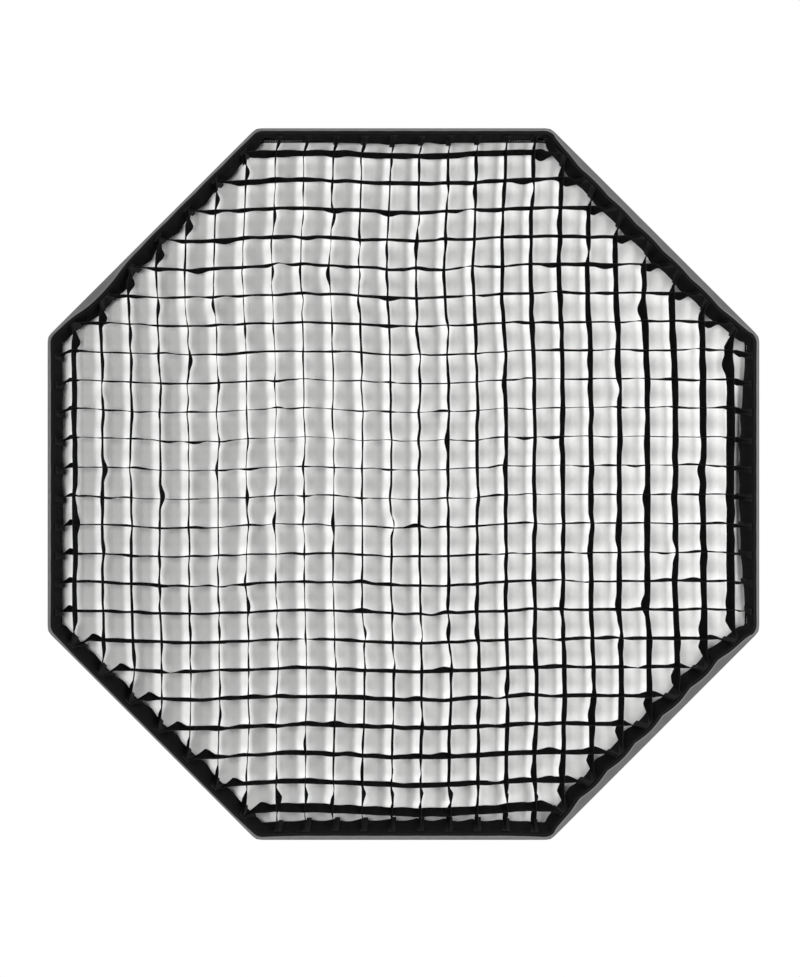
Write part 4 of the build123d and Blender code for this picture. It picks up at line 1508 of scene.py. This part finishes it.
    def end_tab(self, run: Run, place: float, sign: int, rng: np.random.Generator) -> bpy.types.Object:
        """Make one tab, which lies along the border from its front edge to its rear edge."""
        side = self.meets(run, place, sign)
        fold = END_FOLDS[(run, side)]
        normal, tangent = compass(side.value * SIDE_STEP)
        outward = normal[0] if run is Run.UPRIGHT else normal[2]
        aside = place + (fold.gather * np.sign(round(outward, 3)) + fold.slide) * MM
        rows = []
        for share in np.linspace(0.02, 0.98, 7):
            reach = self.end(run, place, share, sign)
            y = self.size.front + self.depth * share
            middle = np.array([aside, y, reach] if run is Run.UPRIGHT else [reach, y, aside])
            width = np.linspace(-1, 1, 4) * rng.uniform(*self.tab_half) * MM * (1 - 0.3 * share)
            lift = (1.4 + 0.8 * math.sin(share * 9 + place * 50)) * MM
            rows.append(middle - normal * lift + tangent * (width + 4 * MM * share)[:, None])
        return sheet_object(f"tab_{run.value}_{place:.3f}_{sign}", np.stack(rows))

    def lay(self, run: Run, sideways: Array, along: Array, y: float) -> list:
        """Points of a strip from distances sideways and along it."""
        flat = np.full(len(sideways), y)
        columns = (sideways, flat, along) if run is Run.UPRIGHT else (along, flat, sideways)
        return np.stack(columns, axis=1).tolist()


@dataclass
class Diffusers(SubAssembly):
    """The front diffuser with its edge tape, and the inner diffuser on its elastic tabs."""

    thickness: float = 0.5 * MM
    corner_r: float = 22 * MM
    tape_width: float = 20 * MM
    tape_thickness: float = 1.4 * MM
    inner_corner_r: float = 15 * MM
    inner_slack: float = 6 * MM
    held_width: float = 24 * MM
    settle_frames: int = 24
    settle_stiffness: float = 18.0
    elastic_width: float = 18 * MM

    def build(self) -> None:
        """Make both diffusers."""
        self.build_front()
        self.build_inner()
        self.build_tabs()

    def build_front(self) -> None:
        """Make the front diffuser, with soft upright ripples, and the tape round its edge."""
        size, tape_size = Extent.of("front_diffuser"), Extent.of("diffuser_edge_tape")
        path = OctagonPath(straight=25, corner=4)
        outline = path.ring(size.half, self.corner_r, size.rear)

        def lift(x: Array, z: Array) -> Array:
            edge = np.clip(1 - np.maximum(np.abs(x), np.abs(z)) / size.half, 0, 1)
            billow = (5 + x / size.half) * MM + 1.8 * MM * ripples(x, z * 0.4, 130 * MM, seed=21, slant=0.5)
            return billow * ease(edge * 4)

        sheet = disc_sheet("front_diffuser_cloth", outline, 48, lift)
        self.plan_sheet(sheet, "front_diffuser", size.half, rests_on="edge_tape_ring")
        path = OctagonPath(straight=40, corner=6)
        rings = [path.ring(tape_size.half - x * MM, self.corner_r - x * 0.5 * MM, size.rear) for x in (0, 7, 13, 20)]
        self.plan(
            hoop("edge_tape_ring", rings), "hook_tape", "diffuser_edge_tape",
            Finish.HOOKS, thickness=self.tape_thickness, flat=(girth(tape_size.half), self.tape_width),
            rests_on="front_diffuser_cloth",
        )
        rows = [path.ring(tape_size.half - x * MM, 16 * MM, size.front - THREAD_LIFT * 2) for x in (3, 17)]
        self.thread("diffuser_edge_stitches", "diffuser_fabric", rows, True, Finish.WHITE_THREAD, 13)

    def plan_sheet(self, sheet: bpy.types.Object, node: str, half: float, **rest: str) -> None:
        """Plan a diffuser's sheet, cut as an octagon from half its width."""
        self.plan(
            sheet, "diffuser_fabric", node, Finish.DIFFUSION, thickness=self.thickness,
            flat=(2 * half, 2 * half), area=octagon_area(half), **rest,
        )

    def build_inner(self) -> None:
        """Make the inner diffuser, hung from its corners and slack between them."""
        size = Extent.of("inner_diffuser")
        path = OctagonPath(straight=21, corner=4)
        slack = self.inner_slack * (1 - path.tau**2) * (path.turn == 0)
        outline = path.ring(size.half, self.inner_corner_r, size.rear, slack)

        def lift(x: Array, z: Array) -> Array:
            far = np.sqrt(x**2 + z**2) / size.half
            return -1.5 * MM * (1 + ripples(x, z, 110 * MM, seed=41)) * ease((1 - far) * 4)

        def held(points: Array) -> Array:
            facings = [compass(k * SIDE_STEP)[0] for k in range(SIDES)]
            reach = np.max([points[:, 0] * out[0] + points[:, 2] * out[2] for out in facings], axis=0)
            return (reach > size.half - self.held_width) * 1.0

        sheet = disc_sheet("inner_diffuser_cloth", outline, 30, lift)
        hang(sheet, held, self.settle_frames, self.settle_stiffness)
        self.plan_sheet(sheet, "inner_diffuser", size.half, held="hung", rests_on="elastic_tabs")
        rows = [path.ring(size.half - 8 * MM, 12 * MM, size.rear + THREAD_LIFT * 2, slack)]
        self.thread("inner_diffuser_stitches", "diffuser_fabric", rows, True, Finish.WHITE_THREAD, 17)

    def build_tabs(self) -> None:
        """Make the elastic tabs between the inner diffuser's corners and the rods' clips."""
        points = node_points("inner_diffuser_tabs")
        reach = np.hypot(points[:, 0], points[:, 2])
        start, end = reach.min(), reach.max()
        size = Extent.of("inner_diffuser_tabs")
        share = np.linspace(0, 1, 15)
        tabs, rows = [], []
        for k in range(SIDES):
            out, aside = compass(HALF_STEP + k * SIDE_STEP)
            middle = out * (start + (end - start) * share)[:, None] + np.array([0, size.front, 0])
            half = self.elastic_width / 2 - 2.2 * MM * np.sin(math.pi * share)
            grid = middle[:, None] + aside * (half[:, None] * np.linspace(-1, 1, 7)[None])[:, :, None]
            tabs.append(sheet_object(f"tab_{k}", grid[::-1]))
            for run in (0.06, 0.3):
                at = out * (start + (end - start) * run) + np.array([0, size.rear + THREAD_LIFT * 2, 0])
                rows.append(at + aside * np.linspace(-7.5 * MM, 7.5 * MM, 5)[:, None])
        self.plan(
            join(tabs, "elastic_tabs"), "elastic_tape", "inner_diffuser_tabs", Finish.ELASTIC,
            thickness=self.tape_thickness, flat=(self.elastic_width, (end - start) * SIDES),
            rests_on="inner_diffuser_cloth",
        )
        self.thread("elastic_tab_stitches", "elastic_tape", rows, False, Finish.WHITE_THREAD, 19)


@dataclass
class CornerPockets(SubAssembly):
    """The webbing pockets that take the rods' tips at the seam's corners."""

    thickness: float = 1.0 * MM
    round_from: float = 0.86
    flare: float = 0.05
    pucker: float = 0.035
    stitch_at: float = 4 * MM

    def build(self) -> None:
        """Make a sleeve over each rod's tip."""
        points = node_points("corner_pockets")
        angle = np.arctan2(points[:, 2], points[:, 0])
        sleeves, rows, length = [], [], 0.0
        for k in range(SIDES):
            corner = HALF_STEP + k * SIDE_STEP
            fit = Rod3D.fit(points[np.cos(angle - corner) > math.cos(HALF_STEP / 2)])
            aside = compass(corner)[1]
            up = np.cross(fit.axis, aside)
            share = np.linspace(0, 1, 18)
            turn = np.linspace(0, 2 * math.pi, 28, endpoint=False)
            closing = np.clip((share - self.round_from) / (1 - self.round_from), 0, 1)
            close = np.maximum(np.sqrt(np.clip(1 - closing**2, 0, 1)), 0.02)
            radius = fit.radius * close * (1 + self.flare * np.exp(-share * 12))
            waves = ripples(turn[None] * fit.radius * 3, share[:, None] * fit.length, 12 * MM, seed=61 + k)
            swollen = radius[:, None] * (1 + self.pucker * waves)
            wide, high = swollen * np.cos(turn)[None], swollen * np.sin(turn)[None]
            middle = fit.start + fit.axis * (share * fit.length)[:, None]
            rings = middle[:, None] + wide[..., None] * aside + high[..., None] * up
            sleeves.append(hoop(f"pocket_{k}", rings[::-1]))
            at = fit.start + fit.axis * self.stitch_at
            ring = at + fit.radius * 1.08 * (np.cos(turn)[:, None] * aside + np.sin(turn)[:, None] * up)
            rows.append(ring)
            length += fit.length
        self.plan(
            join(sleeves, "corner_pocket_sleeves"), "webbing", "corner_pockets", Finish.WEBBING,
            thickness=self.thickness, flat=(2 * math.pi * fit.radius, length), rests_on="rod_tip_caps",
        )
        self.thread("corner_pocket_stitches", "webbing", rows, True, Finish.THREAD, 23)


@dataclass
class Hardware:
    """The rigid pieces, which keep their CAD shape and get their finishes and eased edges."""

    finishes: dict[str, tuple[Finish, float]] = field(
        default_factory=lambda: {
            "bayonet_adapter": (Finish.ADAPTER, 0.4),
            "speedring": (Finish.RING, 0.8),
            "adapter_clips": (Finish.ZINC, 0.2),
            "clip_screws": (Finish.ZINC, 0.12),
            "lock_pad": (Finish.NYLON, 0.15),
            "lock_screw": (Finish.ZINC, 0.1),
            "lock_knob": (Finish.KNOB, 0.25),
            "rod_sockets": (Finish.NICKEL, 0.3),
            "rod_tip_caps": (Finish.CAP, 0.4),
            "rod_clips": (Finish.CAP, 0.3),
        }
    )

    def dress(self) -> None:
        """Give each rigid piece its finish."""
        rods = {f"rod_{k}": (Finish.ROD, 0.2) for k in range(1, SIDES + 1)}
        for name, (finish, edge) in {**self.finishes, **rods}.items():
            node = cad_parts[name]
            node.data.materials.clear()
            node.data.materials.append(WARDROBE.get(finish))
            bevel = node.modifiers.new("eased_edges", "BEVEL")
            bevel.width, bevel.segments = edge * MM, 2
            bevel.limit_method, bevel.angle_limit = "ANGLE", math.radians(SHARP_ANGLE)
            bevel.harden_normals = False
            LOG.info("%s: %s", name, finish.value.name)


def join(objects: Sequence[bpy.types.Object], name: str) -> bpy.types.Object:
    """Join objects into one with a new name."""
    bpy.ops.object.select_all(action="DESELECT")
    for obj in objects:
        obj.select_set(True)
    bpy.context.view_layer.objects.active = objects[0]
    bpy.ops.object.join()
    objects[0].name = name
    objects[0].data.name = name
    return objects[0]


# ------------------------------------------------------------------ studio
@dataclass
class Studio:
    """A pale floor, soft white light and the camera."""

    floor_z: float = -1.3
    floor_radius: float = 1.45
    key_x: float = 0.75
    key_distance: float = 2.0
    key_size: tuple[float, float] = (0.4, 2.8)
    key_power: float = 65.0
    fill_x: float = -0.6
    fill_size: tuple[float, float] = (0.7, 0.7)
    fill_power: float = 65.0
    light_z: float = 0.1
    camera_at: tuple[float, float, float] = (-0.0059, -4.02, -0.0076)
    lens: float = 77.1

    def build(self) -> None:
        """Set up the studio."""
        self.build_world()
        self.build_floor()
        self.build_lights()
        self.build_camera()

    def build_world(self) -> None:
        """White surroundings that light the cloth evenly."""
        world = bpy.data.worlds.new("white_studio")
        world.use_nodes = True
        bpy.context.scene.world = world
        background = world.node_tree.nodes["Background"]
        background.inputs["Color"].default_value = (1, 1, 1, 1)
        background.inputs["Strength"].default_value = 1.0
        bpy.context.scene.view_settings.view_transform = "Standard"

    def build_floor(self) -> None:
        """Pale round floor under the softbox."""
        turns = np.linspace(0, 2 * math.pi, 96, endpoint=False)
        outline = np.stack([np.cos(turns), turns * 0, np.sin(turns)], axis=1) * self.floor_radius
        floor = disc_sheet("studio_floor", outline, 4, lambda x, z: x * 0)
        floor.data.transform(Matrix.Rotation(math.radians(90), 4, "X"))
        floor.data.transform(Matrix.Translation((0, 0, self.floor_z)))
        dress(floor, Finish.FLOOR)

    def build_lights(self) -> None:
        """Tall soft key on the right and a fill beside the camera."""
        key_at = (self.key_x, rear_of_grid() - self.key_distance, self.light_z)
        self.add_light("tall_key", key_at, self.key_size, self.key_power)
        fill_at = (self.fill_x, self.camera_at[1], self.light_z)
        self.add_light("front_fill", fill_at, self.fill_size, self.fill_power)

    def add_light(
        self, name: str, place: tuple[float, float, float], size: tuple[float, float], power: float
    ) -> None:
        """Add a soft light that faces the grid's middle.

        Args:
            name: the light's name.
            place: where it stands.
            size: its width and height in metres.
            power: its power in watts.
        """
        light = bpy.data.lights.new(name, "AREA")
        light.shape = "RECTANGLE"
        light.size, light.size_y = size
        light.energy = power
        lamp = bpy.data.objects.new(name, light)
        lamp.location = place
        lamp.rotation_euler = (math.radians(90), 0, math.atan2(place[0], rear_of_grid() - place[1]))
        lamp.visible_camera = False
        bpy.context.scene.collection.objects.link(lamp)

    def build_camera(self) -> None:
        """Camera straight in front of the grid."""
        data = bpy.data.cameras.new("front_camera")
        data.lens = self.lens
        camera = bpy.data.objects.new("front_camera", data)
        camera.location = self.camera_at
        camera.rotation_euler = (math.radians(90), 0, 0)
        bpy.context.scene.collection.objects.link(camera)
        bpy.context.scene.camera = camera


def rear_of_grid() -> float:
    """Depth of the grid's rear edge, which is nearest to the diffuser."""
    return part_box("grid_border")[1].y


def measure_pitch() -> float:
    """Spacing of the grid's strips, from the outermost upright strips of the frame."""
    low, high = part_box("grid_upright_strips")
    return (high.x - low.x - 0.8 * MM) / (EggCrate.count - 1)


def main() -> None:
    """Build and dress the softbox."""
    stitcher = Stitcher()
    shape = LipShape(measure_pitch())
    assemblies: list[SubAssembly] = [
        Shell(stitcher, ShellProfile()),
        Lip(stitcher, shape),
        EggCrate(stitcher, shape),
        Diffusers(stitcher),
        CornerPockets(stitcher),
    ]
    for assembly in assemblies:
        assembly.build()
        assembly.dress()
        LOG.info("%s built with %d pieces", type(assembly).__name__, len(assembly.plans))
    Hardware().dress()
    Studio().build()


if __name__ == "__main__":
    main()
